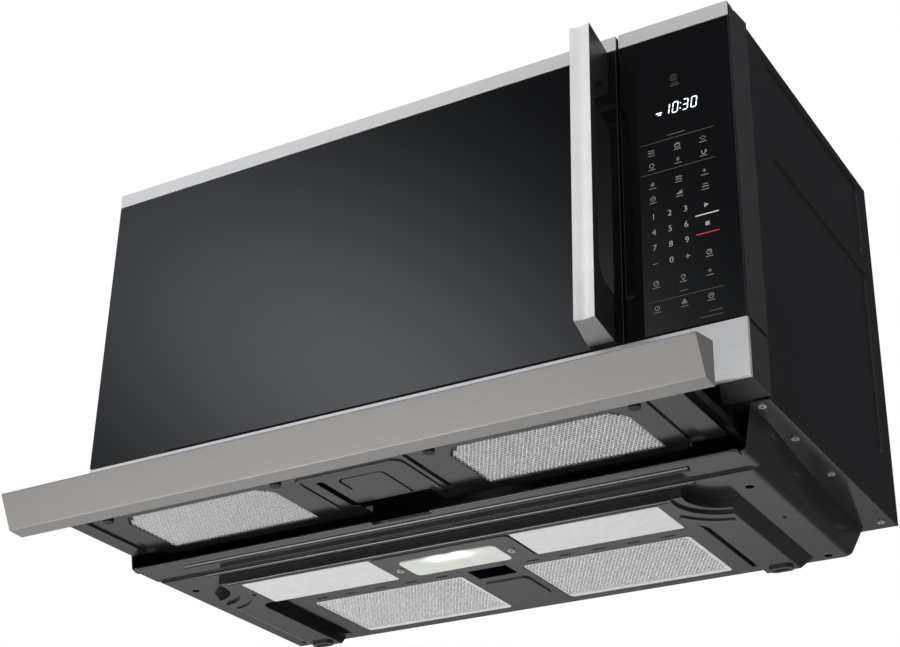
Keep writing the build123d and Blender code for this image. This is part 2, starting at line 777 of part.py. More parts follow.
# ---- Front exhaust grille in the top sheet, and the charcoal filter under it -----------------
with BuildPart() as exhaust_grille:
    block(
        grille_left + fit_gap,
        grille_right - fit_gap,
        grille_front + fit_gap,
        grille_front + grille_depth - fit_gap,
        top - 5,
        top,
    )
    louvre_pitch = 20.0
    louvre_count = int((grille_right - grille_left - 20) // louvre_pitch)
    with BuildSketch(at_z(top - 6)):
        with Locations(((grille_left + grille_right) / 2, grille_front + grille_depth / 2)):
            with GridLocations(louvre_pitch, 1, louvre_count, 1):
                Rectangle(14, grille_depth - 10)
    extrude(amount=10, mode=Mode.SUBTRACT)
exhaust_grille.part.label = "exhaust_grille"
export_step(exhaust_grille.part, "parts/exhaust_grille.step")

with BuildPart() as charcoal_filter:
    block(
        grille_left + 6,
        grille_right - 6,
        grille_front + 2,
        grille_front + grille_depth - 2,
        top - 5 - fit_gap - 16,
        top - 5 - fit_gap,
    )
charcoal_filter.part.label = "charcoal_filter"
export_step(charcoal_filter.part, "parts/charcoal_filter.step")

# ---- Lower moulding and the silver bar on it -------------------------------------------------
bar_sheet = 1.2
bar_return = 5.0
moulding_top = fascia_bottom + bar_height - bar_sheet - fit_gap
with BuildPart() as lower_trim_bar:
    block(-half_fascia, half_fascia, front, front + bar_return, fascia_bottom, fascia_bottom + bar_height)
    fillet(lower_trim_bar.edges().filter_by(Axis.X).group_by(Axis.Y)[0], 0.8)
    block(
        -half_fascia + bar_sheet,
        half_fascia - bar_sheet,
        front + bar_sheet,
        front + bar_return + 1,
        fascia_bottom + bar_sheet,
        fascia_bottom + bar_height - bar_sheet,
        Mode.SUBTRACT,
    )
lower_trim_bar.part.label = "lower_trim_bar"
export_step(lower_trim_bar.part, "parts/lower_trim_bar.step")

well_margin = 32.5  # the well under the moulding, in from its ends
with BuildPart() as lower_fascia:
    inner_half = half_fascia - bar_sheet - fit_gap
    block(
        -half_fascia + 0.5, half_fascia - 0.5, front + bar_return, chassis_front,
        fascia_bottom, moulding_top,
    )
    block(
        -inner_half,
        inner_half,
        front + bar_sheet + fit_gap,
        front + bar_return,
        fascia_bottom + bar_sheet + fit_gap,
        moulding_top,
    )
    with BuildSketch(at_z(fascia_bottom - 1)):
        with BuildLine():
            Polyline(
                (-half_fascia + well_margin, front + 8),
                (half_fascia - well_margin, front + 8),
                (half_fascia - well_margin - 14, chassis_front - 4),
                (-half_fascia + well_margin + 14, chassis_front - 4),
                close=True,
            )
        make_face()
    extrude(amount=bar_height - 12, mode=Mode.SUBTRACT)
    rib_count = 9
    with BuildSketch(at_z(fascia_bottom + 14)):
        with Locations((0, (front + 8 + chassis_front - 4) / 2)):
            with GridLocations((overall_width - 99) / (rib_count - 1), 1, rib_count, 1):
                Rectangle(2, fascia_depth - 11)
    extrude(amount=bar_height - 26)
lower_fascia.part.label = "lower_fascia"
export_step(lower_fascia.part, "parts/lower_fascia.step")

# ---- Control module: housing, glass, strip, display and board --------------------------------
housing_front = front + glass_thickness
housing_rise = 5.0  # its top slopes up to the rear
with BuildPart() as control_housing:
    with BuildSketch(at_x(panel_left)):
        with BuildLine():
            Polyline(
                (housing_front, door_bottom),
                (chassis_front, door_bottom),
                (chassis_front, fascia_top + housing_rise),
                (housing_front + strip_return, fascia_top),
                (housing_front + strip_return, fascia_top - 1.5),
                (housing_front, fascia_top - 1.5),
                close=True,
            )
        make_face()
    extrude(amount=panel_right - panel_left)
    block(
        panel_left + moulding,
        panel_right - moulding,
        housing_front + moulding,
        chassis_front + 1,
        door_bottom + moulding,
        fascia_top - 1.5 - moulding,
        Mode.SUBTRACT,
    )
    display_x = (panel_left + panel_right) / 2
    display_z = glass_top - 88.0
    block(
        display_x - 26, display_x + 26, front, housing_front + 5, display_z - 16, display_z + 16,
        Mode.SUBTRACT
    )
control_housing.part.label = "control_housing"
export_step(control_housing.part, "parts/control_housing.step")

with BuildPart() as control_glass:
    block(panel_left, panel_right, front, front + glass_thickness, door_bottom, glass_top - fit_gap)
    fillet(control_glass.edges().group_by(Axis.Y)[0], 0.8)
control_glass.part.label = "control_glass"
export_step(control_glass.part, "parts/control_glass.step")

strip_sheet = 1.2
with BuildPart() as panel_top_strip:
    block(panel_left, panel_right, front, front + strip_return, glass_top, fascia_top)
    block(
        panel_left - 1,
        panel_right + 1,
        front + strip_sheet,
        front + strip_return + 1,
        glass_top - 1,
        fascia_top - strip_sheet,
        Mode.SUBTRACT,
    )
panel_top_strip.part.label = "panel_top_strip"
export_step(panel_top_strip.part, "parts/panel_top_strip.step")

with BuildPart() as display_module:
    block(
        display_x - 25,
        display_x + 25,
        front + glass_thickness,
        housing_front + moulding + 6,
        display_z - 15,
        display_z + 15,
    )
display_module.part.label = "display_module"
export_step(display_module.part, "parts/display_module.step")

with BuildPart() as control_board:
    board_y = housing_front + moulding + 6
    block(panel_left + 8, panel_right - 8, board_y, board_y + 1.6, door_bottom + 12, glass_top - 12)
    for z in (door_bottom + 60, door_bottom + 150, door_bottom + 235):
        block(display_x - 30, display_x + 10, board_y + 1.6, board_y + 12, z - 12, z + 12)
        rod_y(display_x + 30, z, board_y + 1.6, board_y + 20, 8)
    for x in (panel_left + 14, panel_right - 14):
        for z in (door_bottom + 20, glass_top - 20):
            rod_y(x, z, housing_front + moulding, board_y, 3)
control_board.part.label = "control_board"
export_step(control_board.part, "parts/control_board.step")

# ---- Hinge brackets with pins ----------------------------------------------------------------
bracket_thickness = 3.0
bracket_gap = 1.0
hinge_levels = (door_bottom + 14.0, fascia_top - 26.0)  # pin side faces of the lower and upper leaves
pin_length = 12.0
with BuildPart() as hinge_brackets:
    for level, way in zip(hinge_levels, (1, -1)):
        leaf_low = min(level, level - way * bracket_thickness)
        block(
            hinge_x - 8,
            hinge_x + 14,
            hinge_y,
            chassis_front,
            leaf_low,
            leaf_low + bracket_thickness,
        )
        rod_z(hinge_x, hinge_y, leaf_low, leaf_low + bracket_thickness, 8)
        block(
            hinge_x - 8,
            hinge_x + 14,
            chassis_front - bracket_thickness,
            chassis_front,
            leaf_low - 9,
            leaf_low + bracket_thickness + 9,
        )
        rod_z(
            hinge_x,
            hinge_y,
            min(level, level + way * pin_length),
            max(level, level + way * pin_length),
            hinge_pin_radius,
        )
hinge_brackets.part.label = "hinge_brackets"
export_step(hinge_brackets.part, "parts/hinge_brackets.step")

# ---- Door: glass, strip, bezel, choke pan, choke cover, inner window, handle -----------------
choke_left = cavity_left - 14.0
choke_right = cavity_right + 14.0
choke_low = cavity_floor - 14.0
choke_high = cavity_ceiling + 14.0
choke_depth = 26.0
cover_thickness = 2.7
door_back = chassis_front - 1.0
choke_front = door_back - choke_depth
window_low = cavity_floor + 26.0
window_high = cavity_ceiling - 26.0
window_left = cavity_left + 36.0
window_right = cavity_right - 36.0
bezel_front = front + glass_thickness
bezel_back = front + door_edge_depth
handle_low = door_bottom + handle_end_gap
handle_high = glass_top
handle_screw_heights = (handle_low + 20, handle_high - 20)
handle_front_x = door_right - handle_front_inset
handle_foot_x = door_right - handle_foot_inset
screw_radius = 2.4
screw_head = 5.0
edge_cut = 3.0

with BuildPart() as door_glass:
    block(door_left, door_right, front, bezel_front, door_bottom, glass_top - fit_gap)
    fillet(door_glass.edges().group_by(Axis.Y)[0], 0.8)
    for z in handle_screw_heights:
        rod_y(handle_foot_x, z, front - 5, bezel_front + 5, screw_radius + 0.8, Mode.SUBTRACT)
door_glass.part.label = "door_glass"
export_step(door_glass.part, "parts/door_glass.step")

with BuildPart() as door_top_strip:
    block(door_left, door_right, front, front + strip_return, glass_top, fascia_top)
    block(
        door_left - 1,
        door_right + 1,
        front + strip_sheet,
        front + strip_return + 1,
        glass_top - 1,
        fascia_top - strip_sheet,
        Mode.SUBTRACT,
    )
door_top_strip.part.label = "door_top_strip"
export_step(door_top_strip.part, "parts/door_top_strip.step")

latch_half = 4.0
latch_travel = 5.0
latch_well_depth = 15.0
latch_low = latch_slot_heights[0] - 24.0
latch_high = latch_slot_heights[1] + 24.0
spring_length = 14.0
spring_radius = 3.0
spring_sheet = 0.8
spring_width = 3.0
spring_folds = 7  # a folded leaf spring

with BuildPart() as door_bezel:
    with BuildSketch(at_x(door_left)):
        with BuildLine():
            Polyline(
                (bezel_front, door_bottom),
                (bezel_back, door_bottom),
                (bezel_back, fascia_top + housing_rise - 1),
                (bezel_front + strip_return, fascia_top),
                (bezel_front + strip_return, fascia_top - strip_sheet - fit_gap),
                (bezel_front, fascia_top - strip_sheet - fit_gap),
                close=True,
            )
        make_face()
    extrude(amount=door_width)
    block(
        door_left + moulding, door_right - moulding, bezel_front + moulding, bezel_back + 1,
        door_bottom + moulding, fascia_top - strip_sheet - fit_gap - moulding, Mode.SUBTRACT,
    )
    block(
        door_left + 1, hinge_x + 21, bezel_front + 1, bezel_back, door_bottom + 1,
        fascia_top - strip_sheet - fit_gap - moulding,
    )
    block(
        choke_right, door_right - 1, bezel_front + 1, bezel_back, door_bottom + 1,
        fascia_top - strip_sheet - fit_gap - moulding,
    )
    rib_y = (bezel_front + 1, choke_front)
    for z in (choke_low - moulding, choke_high):
        block(door_left + 1, door_right - 1, rib_y[0], bezel_back, z, z + moulding)
    for z in (window_low - 2 * moulding, window_high + moulding):
        block(choke_left, choke_right, rib_y[0], rib_y[1], z, z + moulding)
    for x in (window_left - 2 * moulding, window_right + moulding):
        block(x, x + moulding, rib_y[0], rib_y[1], choke_low, choke_high)
    block(
        window_left, window_right, bezel_front - 1, bezel_back + 1, window_low, window_high, Mode.SUBTRACT
    )
    # the edge that swings past the hinge brackets is cut away
    with BuildSketch(at_z(door_bottom)):
        with BuildLine():
            Polyline(
                (door_left, bezel_back - edge_cut), (door_left, bezel_back),
                (door_left + edge_cut, bezel_back),
                close=True,
            )
        make_face()
    extrude(amount=cabinet_height, mode=Mode.SUBTRACT)
    for level, way in zip(hinge_levels, (1, -1)):
        leaf = sorted((level + way * bracket_gap, level - way * 40))
        block(
            door_left - 1, hinge_x + 26, hinge_y - 11, bezel_back + 1, leaf[0], leaf[1], Mode.SUBTRACT
        )
        rod_z(
            hinge_x,
            hinge_y,
            min(level, level + way * (pin_length + 1)),
            max(level, level + way * (pin_length + 1)),
            hinge_pin_radius + running_fit,
            Mode.SUBTRACT,
        )
    block(
        latch_x - latch_half - fit_gap,
        latch_x + latch_half + fit_gap,
        bezel_back - latch_well_depth,
        bezel_back + 1,
        latch_low - fit_gap,
        latch_high + latch_travel + fit_gap,
        Mode.SUBTRACT,
    )
    rod_z(
        latch_x, bezel_back - latch_well_depth / 2, latch_high,
        latch_high + spring_length, spring_radius + 1, Mode.SUBTRACT,
    )
    for z in handle_screw_heights:
        rod_y(handle_foot_x, z, front, choke_front + 5, screw_radius + 0.4, Mode.SUBTRACT)
        rod_y(handle_foot_x, z, choke_front, bezel_back + 5, screw_head + 1, Mode.SUBTRACT)
door_bezel.part.label = "door_bezel"
export_step(door_bezel.part, "parts/door_bezel.step")

with BuildPart() as choke_pan:
    block(choke_left, choke_right, choke_front, door_back - 3, choke_low, choke_high)
    block(
        choke_left + sheet,
        choke_right - sheet,
        choke_front + sheet,
        door_back,
        choke_low + sheet,
        choke_high - sheet,
        Mode.SUBTRACT,
    )
    channel = 16.0
    with BuildSketch(at_y(door_back - 3)):
        with Locations(((choke_left + choke_right) / 2, (choke_low + choke_high) / 2)):
            Rectangle(choke_right - choke_left - 2 * channel, choke_high - choke_low - 2 * channel)
            Rectangle(
                choke_right - choke_left - 2 * channel - 2 * sheet,
                choke_high - choke_low - 2 * channel - 2 * sheet,
                mode=Mode.SUBTRACT,
            )
    extrude(amount=choke_depth - 3)
choke_pan.part.label = "choke_pan"
export_step(choke_pan.part, "parts/choke_pan.step")

with BuildPart() as choke_cover:
    with BuildSketch(at_y(door_back)):
        with Locations(((choke_left + choke_right) / 2, (choke_low + choke_high) / 2)):
            RectangleRounded(choke_right - choke_left + 3, choke_high - choke_low + 3, 3)
        with Locations((cavity_x, (window_low + window_high) / 2)):
            RectangleRounded(
                window_right - window_left, window_high - window_low, 6, mode=Mode.SUBTRACT
            )
    extrude(amount=cover_thickness)
choke_cover.part.label = "choke_cover"
export_step(choke_cover.part, "parts/choke_cover.step")

with BuildPart() as inner_window:
    with BuildSketch(at_y(door_back - cover_thickness)):
        with Locations((cavity_x, (window_low + window_high) / 2)):
            RectangleRounded(window_right - window_left + 16, window_high - window_low + 16, 6)
    extrude(amount=2)
inner_window.part.label = "inner_window"
export_step(inner_window.part, "parts/inner_window.step")

grip_front = front - handle_standoff
grip_back = grip_front + handle_grip
screw_grip = 16.0
with BuildPart() as door_handle:
    with BuildSketch(at_z(handle_low)):
        with BuildLine():
            left_front = (handle_front_x - handle_front_width / 2, grip_front)
            right_front = (handle_front_x + handle_front_width / 2, grip_front)
            left_foot = (handle_foot_x - handle_foot_width / 2, front)
            right_foot = (handle_foot_x + handle_foot_width / 2, front)
            ThreePointArc(left_front, (handle_front_x, grip_front + handle_hollow), right_front)
            Polyline(right_front, right_foot, left_foot, left_front)
        make_face()
    extrude(amount=handle_high - handle_low)
    with BuildSketch(at_x(handle_foot_x - handle_foot_width)):
        with Locations(((grip_back + front + 20) / 2, (handle_low + handle_high) / 2)):
            Rectangle(front + 20 - grip_back, handle_high - handle_low - 2 * handle_foot_height)
        gap_corners = [v for v in vertices() if v.X < grip_back + 1 or v.Y < grip_back + 1]
        fillet(gap_corners, handle_standoff - handle_grip - 16)
    extrude(amount=3 * handle_foot_width, mode=Mode.SUBTRACT)
    for z in handle_screw_heights:
        rod_y(handle_foot_x, z, front - screw_grip, front + 5, screw_radius, Mode.SUBTRACT)
door_handle.part.label = "door_handle"
export_step(door_handle.part, "parts/door_handle.step")

with BuildPart() as handle_screws:
    for z in handle_screw_heights:
        rod_y(handle_foot_x, z, front - screw_grip, choke_front, screw_radius - running_fit)
        rod_y(handle_foot_x, z, choke_front, choke_front + 3, screw_head)
handle_screws.part.label = "handle_screws"
export_step(handle_screws.part, "parts/handle_screws.step")


# ---- Door latch: hook bar with its return spring ---------------------------------------------
latch_y = (bezel_back - latch_well_depth + fit_gap, bezel_back - 2.0)
hook_back = chassis_front + sheet + 12.0
with BuildPart() as latch_hook:
    block(latch_x - latch_half, latch_x + latch_half, latch_y[0], latch_y[1], latch_low, latch_high)
    for z in latch_slot_heights:
        with BuildSketch(at_x(latch_x - 3.4)):
            with BuildLine():
                Polyline(
                    (latch_y[1] - 1, z - 2),
                    (hook_back - 6, z - 2),
                    (hook_back - 6, z - 9),
                    (hook_back - 3, z - 9),
                    (hook_back, z - 3),
                    (hook_back, z + 7),
                    (latch_y[1] - 1, z + 8),
                    close=True,
                )
            make_face()
        extrude(amount=6.8)
latch_hook.part.label = "latch_hook"
export_step(latch_hook.part, "parts/latch_hook.step")

with BuildPart() as latch_spring:
    spring_y = bezel_back - latch_well_depth / 2
    fold_pitch = (spring_length - 1.4) / spring_folds
    with BuildSketch(at_x(latch_x - spring_width / 2)):
        with BuildLine():
            Polyline(
                *[
                    (spring_y + (spring_radius - 1) * (-1) ** fold, latch_high + 0.7 + fold_pitch * fold)
                    for fold in range(spring_folds + 1)
                ]
            )
        trace(line_width=spring_sheet)
    extrude(amount=spring_width)
    block(
        latch_x - spring_width, latch_x + spring_width, spring_y - 2 * spring_radius,
        spring_y + 2 * spring_radius,
        latch_high, latch_high + spring_length, Mode.INTERSECT,
    )
latch_spring.part.label = "latch_spring"
export_step(latch_spring.part, "parts/latch_spring.step")

# ---- Interlock board and switches behind the front frame -------------------------------------
board_left = latch_x + 7.0
with BuildPart() as latch_board:
    block(
        board_left, board_left + 2.5, chassis_front + sheet, chassis_front + 42,
        latch_slot_heights[0] - 30, latch_slot_heights[1] + 30,
    )
    for z in (latch_slot_heights[0] - 30, latch_slot_heights[1] + 27.5):
        block(board_left, board_left + 12, chassis_front + sheet, chassis_front + 26, z, z + 2.5)
    for z in latch_slot_heights:
        block(
            board_left - 14, board_left, chassis_front + 36, chassis_front + 42, z - 20, z + 20
        )
    # three interlock switches that the hooks press
    for z in (latch_slot_heights[0], latch_slot_heights[1] - 2, latch_slot_heights[1] + 14):
        block(
            board_left - 11, board_left, hook_back + 4, chassis_front + 36, z - 5, z + 5
        )
        rod_y(board_left - 6, z, hook_back + 2.5, hook_back + 4, 1.5)
latch_board.part.label = "latch_board"
export_step(latch_board.part, "parts/latch_board.step")

# ---- Vent slider: visor, its core, tray, filters, runners and bumpers ------------------------
visor_y = front - vent_travel
visor_half = half_fascia + visor_overlap
visor_profile = (
    (visor_y - 2.0, fascia_bottom - visor_top_drop),
    (visor_y - 2.0 + visor_lean, fascia_bottom - visor_drop + 1.0),
    (visor_y - 2.0 + visor_lean + visor_sole, fascia_bottom - visor_drop),
    (visor_y - 2.0 + visor_lean + visor_sole, fascia_bottom - visor_rear_drop),
)
visor_back = visor_profile[3][0]
visor_mouth = (fascia_bottom - visor_drop + 1.4, fascia_bottom - visor_rear_drop - 2.2)
with BuildPart() as visor:
    with BuildSketch(at_x(-visor_half)):
        with BuildLine():
            Polyline(*visor_profile, close=True)
        make_face()
        fillet(vertices().sort_by(Axis.X)[:2], 1.5)
    extrude(amount=2 * visor_half)
    with BuildSketch(at_x(-visor_half + visor_skin)):
        with BuildLine():
            Polyline(*visor_profile, close=True)
        make_face()
        offset(amount=-visor_skin, kind=Kind.INTERSECTION)
    extrude(amount=2 * (visor_half - visor_skin), mode=Mode.SUBTRACT)
    block(
        -visor_half + visor_skin, visor_half - visor_skin, visor_back - 4, visor_back + 6,
        visor_mouth[0], visor_mouth[1], Mode.SUBTRACT,
    )
visor.part.label = "visor"
export_step(visor.part, "parts/visor.step")

with BuildPart() as visor_core:
    with BuildSketch(at_x(-visor_half + visor_skin)):
        with BuildLine():
            Polyline(*visor_profile, close=True)
        make_face()
        offset(amount=-visor_skin, kind=Kind.INTERSECTION)
    extrude(amount=2 * (visor_half - visor_skin))
    block(
        -visor_half + visor_skin, visor_half - visor_skin, visor_back - 4, visor_back,
        visor_mouth[0], visor_mouth[1],
    )
    core_bays = 9
    bay = (2 * (visor_half - visor_skin) - moulding) / core_bays
    for index in range(core_bays):
        bay_left = -visor_half + visor_skin + moulding + bay * index
        # each bay is the same profile moved forward and up, which leaves a back wall and a sole
        with BuildSketch(Plane(origin=(bay_left, -moulding, moulding), x_dir=(0, 1, 0), z_dir=(1, 0, 0))):
            with BuildLine():
                Polyline(*visor_profile, close=True)
            make_face()
            offset(amount=-visor_skin, kind=Kind.INTERSECTION)
        extrude(amount=bay - moulding, mode=Mode.SUBTRACT)
visor_core.part.label = "visor_core"
export_step(visor_core.part, "parts/visor_core.step")

tray_low = fascia_bottom - tray_drop
tray_front = visor_back
tray_back = tray_front + tray_depth
tray_notch = 40.0
flange_x = tray_half - 9.0  # outer face of the side flange
tray_filter_y = visor_back + tray_filter_front
corner_cut = 10.0
channel_rise = 3.0
filter_lap = 4.0
with BuildPart() as vent_tray:
    with BuildSketch(at_z(tray_low)):
        with BuildLine():
            Polyline(
                (-tray_half, tray_front),
                (tray_half, tray_front),
                (tray_half, tray_back - 12),
                (tray_half - tray_notch, tray_back - 12),
                (tray_half - tray_notch, tray_back),
                (-tray_half + tray_notch, tray_back),
                (-tray_half + tray_notch, tray_back - 12),
                (-tray_half, tray_back - 12),
                close=True,
            )
        make_face()
        for side in (-1, 1):
            with BuildLine(mode=Mode.PRIVATE) as opening:
                Polyline(
                    (side * (tray_filter_inner + corner_cut), tray_filter_y),
                    (side * (tray_filter_outer - corner_cut), tray_filter_y),
                    (side * tray_filter_outer, tray_filter_y + 1.5 * corner_cut),
                    (side * tray_filter_outer, tray_filter_y + tray_filter_depth),
                    (side * tray_filter_inner, tray_filter_y + tray_filter_depth),
                    (side * tray_filter_inner, tray_filter_y + 1.5 * corner_cut),
                    close=True,
                )
            make_face(opening.edges(), mode=Mode.SUBTRACT)
        # relief at the middle of the back edge, and slots beside the latch plate
        with Locations((-2, tray_back - 14.5)):
            Rectangle(84, 29, mode=Mode.SUBTRACT)
        with Locations((-47, tray_front + 80)):
            SlotOverall(68, 8, rotation=90, mode=Mode.SUBTRACT)
        with Locations((61, tray_front + 70)):
            SlotOverall(88, 5, rotation=90, mode=Mode.SUBTRACT)
    extrude(amount=sheet)
    for side in (-1, 1):
        outer = side * flange_x
        block(
            min(outer, outer - side * sheet), max(outer, outer - side * sheet), tray_front, tray_back - 12,
            tray_low, tray_low + tray_side + 2,
        )
        # channel pressed beside each filter
        channel = side * (tray_filter_outer + 31.5)
        block(
            channel - 8.5, channel + 8.5, tray_front + 4, tray_back - 16, tray_low, tray_low + channel_rise
        )
        block(
            channel - 7.5, channel + 7.5, tray_front + 5, tray_back - 17, tray_low - 1,
            tray_low + channel_rise - sheet, Mode.SUBTRACT,
        )
    block(-tray_half, tray_half, tray_front, tray_front + sheet, tray_low, tray_low + tray_side + 5)
    for x0, x1 in ((-tray_half + tray_notch, -44), (40, tray_half - tray_notch)):
        block(x0, x1, tray_back - sheet, tray_back, tray_low, tray_low + 8)
    # raised U round the latch plate, and the slot that frees the plate
    with BuildSketch(at_z(tray_low - 1.2)):
        with BuildLine():
            FilletPolyline(
                (-67, tray_back - 8), (-67, tray_front + 33), (50, tray_front + 33), (50, tray_back - 8),
                radius=9,
            )
        trace(line_width=5)
    extrude(amount=1.2 + sheet / 2)
    with BuildSketch(at_z(tray_low - 2)):
        with BuildLine():
            FilletPolyline(
                (-27.6, tray_front + 76), (-27.6, tray_front + 50), (22, tray_front + 50),
                (22, tray_front + 108),
                radius=6,
            )
        trace(line_width=2.4)
    extrude(amount=5, mode=Mode.SUBTRACT)
vent_tray.part.label = "vent_tray"
export_step(vent_tray.part, "parts/vent_tray.step")

bumper_radius = 5.5
bumper_height = 2.2
with BuildPart() as tray_bumpers:
    for x in (tray_filter_inner - 12, tray_filter_outer + 12):
        for side in (-1, 1):
            rod_z(side * x, tray_filter_y - 3, tray_low - bumper_height, tray_low, bumper_radius)
tray_bumpers.part.label = "tray_bumpers"
export_step(tray_bumpers.part, "parts/tray_bumpers.step")


def mesh_filter(x0, x1, y0, y1, z0, rim, height):
    """A filter pad held in a thin folded rim."""
    block(x0, x1, y0, y1, z0, z0 + height)
    for low, high in ((z0 - 1, z0 + 0.6), (z0 + height - 0.6, z0 + height + 1)):
        block(x0 + rim, x1 - rim, y0 + rim, y1 - rim, low, high, Mode.SUBTRACT)


filter_rim = 6.0
with BuildPart() as tray_filter_right:
    mesh_filter(
        tray_filter_inner - filter_lap, tray_filter_outer + filter_lap, tray_filter_y - filter_lap,
        tray_filter_y + tray_filter_depth + filter_lap, tray_low + sheet, filter_rim, filter_thickness,
    )
tray_filter_right.part.label = "tray_filter_right"
export_step(tray_filter_right.part, "parts/tray_filter_right.step")

with BuildPart() as tray_filter_left:
    mesh_filter(
        -tray_filter_outer - filter_lap, -tray_filter_inner + filter_lap, tray_filter_y - filter_lap,
        tray_filter_y + tray_filter_depth + filter_lap, tray_low + sheet, filter_rim, filter_thickness,
    )
tray_filter_left.part.label = "tray_filter_left"
export_step(tray_filter_left.part, "parts/tray_filter_left.step")

runner_width = 6.5
runner_height = 9.0
runner_length = 180.0
runner_z = fascia_bottom - 15.0  # middle of the runner
rail_back = chassis_front + 195.0
with BuildPart() as tray_runners:
    for side in (-1, 1):
        inner = side * flange_x
        outer = side * (flange_x + runner_width)
        block(
            min(inner, outer), max(inner, outer), tray_front + 18, tray_front + 18 + runner_length,
            runner_z - runner_height / 2, runner_z + runner_height / 2,
        )
tray_runners.part.label = "tray_runners"
export_step(tray_runners.part, "parts/tray_runners.step")

rail_wall = 1.0
with BuildPart() as slide_rails:
    for side in (-1, 1):
        web = side * (flange_x + runner_width + fit_gap)
        web_outer = web + side * rail_wall
        lip = side * (flange_x + 2)
        foot = side * (flange_x - 6)
        clear = runner_height / 2 + fit_gap
        block(
            min(web, web_outer), max(web, web_outer), chassis_front + 4, rail_back,
            runner_z - clear - rail_wall, base_plate_top - sheet,
        )
        for z in (runner_z - clear - rail_wall, runner_z + clear):
            block(min(lip, web_outer), max(lip, web_outer), chassis_front + 4, rail_back, z, z + rail_wall)
        block(
            min(foot, web_outer), max(foot, web_outer), chassis_front + 4, rail_back,
            base_plate_top - sheet - rail_wall, base_plate_top - sheet,
        )
slide_rails.part.label = "slide_rails"
export_step(slide_rails.part, "parts/slide_rails.step")

# ---- Base pan: pressed pan with a hemmed lip, a plateau and a recess for the filters ---------
pan_floor = fascia_bottom - pan_drop
band_floor = pan_floor - pan_step
plateau_low = fascia_bottom - plateau_drop
ceiling_low = plateau_low + recess_height
pan_top_half = half_cabinet - pan_top_margin
pan_shelf_half = half_cabinet - pan_shelf_margin
pan_band_half = half_cabinet - pan_band_margin
pan_waist_half = half_cabinet - pan_waist_margin
pan_tail_half = half_cabinet - pan_tail_margin
pan_step_y = front + pan_step_setback
pan_open_y = front + pan_wall_setback
scoop_x = plateau_half + scoop_offset
scoop_y = front + scoop_setback


def pan_profile(y, half_top, half_foot, floor, inset, rise):
    """Cross-section of the pan's trough at one depth, grown up by rise above the flange."""
    slope = (half_top - half_foot) / (bottom - floor)
    with BuildSketch(at_y(y)) as profile:
        with BuildLine():
            Polyline(
                (half_top - inset + slope * rise, bottom + rise),
                (half_foot - inset, floor + inset),
                (-half_foot + inset, floor + inset),
                (-half_top + inset - slope * rise, bottom + rise),
                close=True,
            )
        make_face()
        fillet(vertices().group_by(Axis.Y)[0], pan_fold_radius - inset)
    return profile.sketch


def pan_form(inset, rise, nose):
    """The pan's solid shape, inset by the sheet, open upward by rise and forward by nose."""
    with BuildPart(mode=Mode.PRIVATE) as form:
        # the shelf between wide walls, then narrower walls that run on behind the step
        for reach, half_foot in ((-inset, pan_shelf_half), (inset, pan_band_half)):
            for y in (pan_open_y - nose, pan_step_y + reach):
                add(pan_profile(y, pan_top_half, half_foot, pan_floor, inset, rise))
            loft(ruled=True)
        stations = (
            (pan_step_y + inset, pan_top_half),
            (front + pan_waist_setback, pan_waist_half),
            (0, pan_tail_half),
        )
        for near, far in zip(stations, stations[1:]):
            for y, half_top in (near, far):
                add(pan_profile(y, half_top, pan_band_half, band_floor, inset, rise))
            loft(ruled=True)
        # rear wall
        lean = (pan_tail_fold - pan_tail_rim) / (bottom - band_floor)
        fold_y = -pan_tail_fold - inset * (1 + lean**2) ** 0.5
        with BuildSketch(at_x(-half_cabinet)):
            with BuildLine():
                Polyline(
                    (pan_open_y - nose - 1, bottom + rise),
                    (pan_open_y - nose - 1, band_floor - 10),
                    (fold_y - lean * 10, band_floor - 10),
                    (fold_y + lean * (bottom + rise - band_floor), bottom + rise),
                    close=True,
                )
            make_face()
        extrude(amount=2 * half_cabinet, mode=Mode.INTERSECT)
        # plateau, with sloping sides and back
        near = front + plateau_setback + inset
        far = -plateau_tail - inset
        with BuildSketch(at_z(band_floor + pan_step + inset)):
            with Locations((0, (near + far + plateau_flare) / 2)):
                Rectangle(2 * (plateau_half + plateau_flare - inset), far + plateau_flare - near)
        with BuildSketch(at_z(plateau_low + inset)):
            with Locations((0, (near + far) / 2)):
                Rectangle(2 * (plateau_half - inset), far - near)
        loft()
        fillet(form.edges().group_by(Axis.Z)[0], plateau_round - inset)
        # hollows at the front corners: a deep scoop and a shallow step round it
        for grow, height in ((0, band_floor), (11, plateau_low + pan_step)):
            for side in (-1, 1):
                rod_z(
                    side * scoop_x, scoop_y, plateau_low - 5, height + inset, scoop_radius + grow + inset,
                    Mode.SUBTRACT,
                )
        # recess for the filters, open at the back
        recess_reach = body_depth - recess_setback
        with BuildSketch(at_z(plateau_low - 5)):
            with Locations((0, front + recess_setback + recess_reach / 2)):
                RectangleRounded(
                    2 * (recess_half + inset), recess_reach + 2 * inset, recess_corner + inset
                )
        extrude(amount=5 + recess_height + inset, mode=Mode.SUBTRACT)
        # gutter just inside the recess, along its front and sides
        gutter_front = front + recess_setback - inset
        gutter_back = -plateau_tail + inset
        inner_front = gutter_front + gutter_reach + 2 * inset
        with BuildSketch(at_z(plateau_low - 5)):
            with Locations((0, (gutter_front + gutter_back) / 2)):
                RectangleRounded(
                    2 * (recess_half + inset), gutter_back - gutter_front, recess_corner + inset
                )
            with Locations((0, inner_front / 2)):
                RectangleRounded(
                    2 * (recess_half - gutter_width - inset), -inner_front, recess_corner / 2,
                    mode=Mode.SUBTRACT,
                )
        extrude(amount=5 + recess_height + gutter_depth + inset, mode=Mode.SUBTRACT)
    return form.part


def bead(setback, radius, half_length, level):
    """A half-round bead pressed along the pan's front."""
    rod_x(front + setback, level, -half_length, half_length, radius)


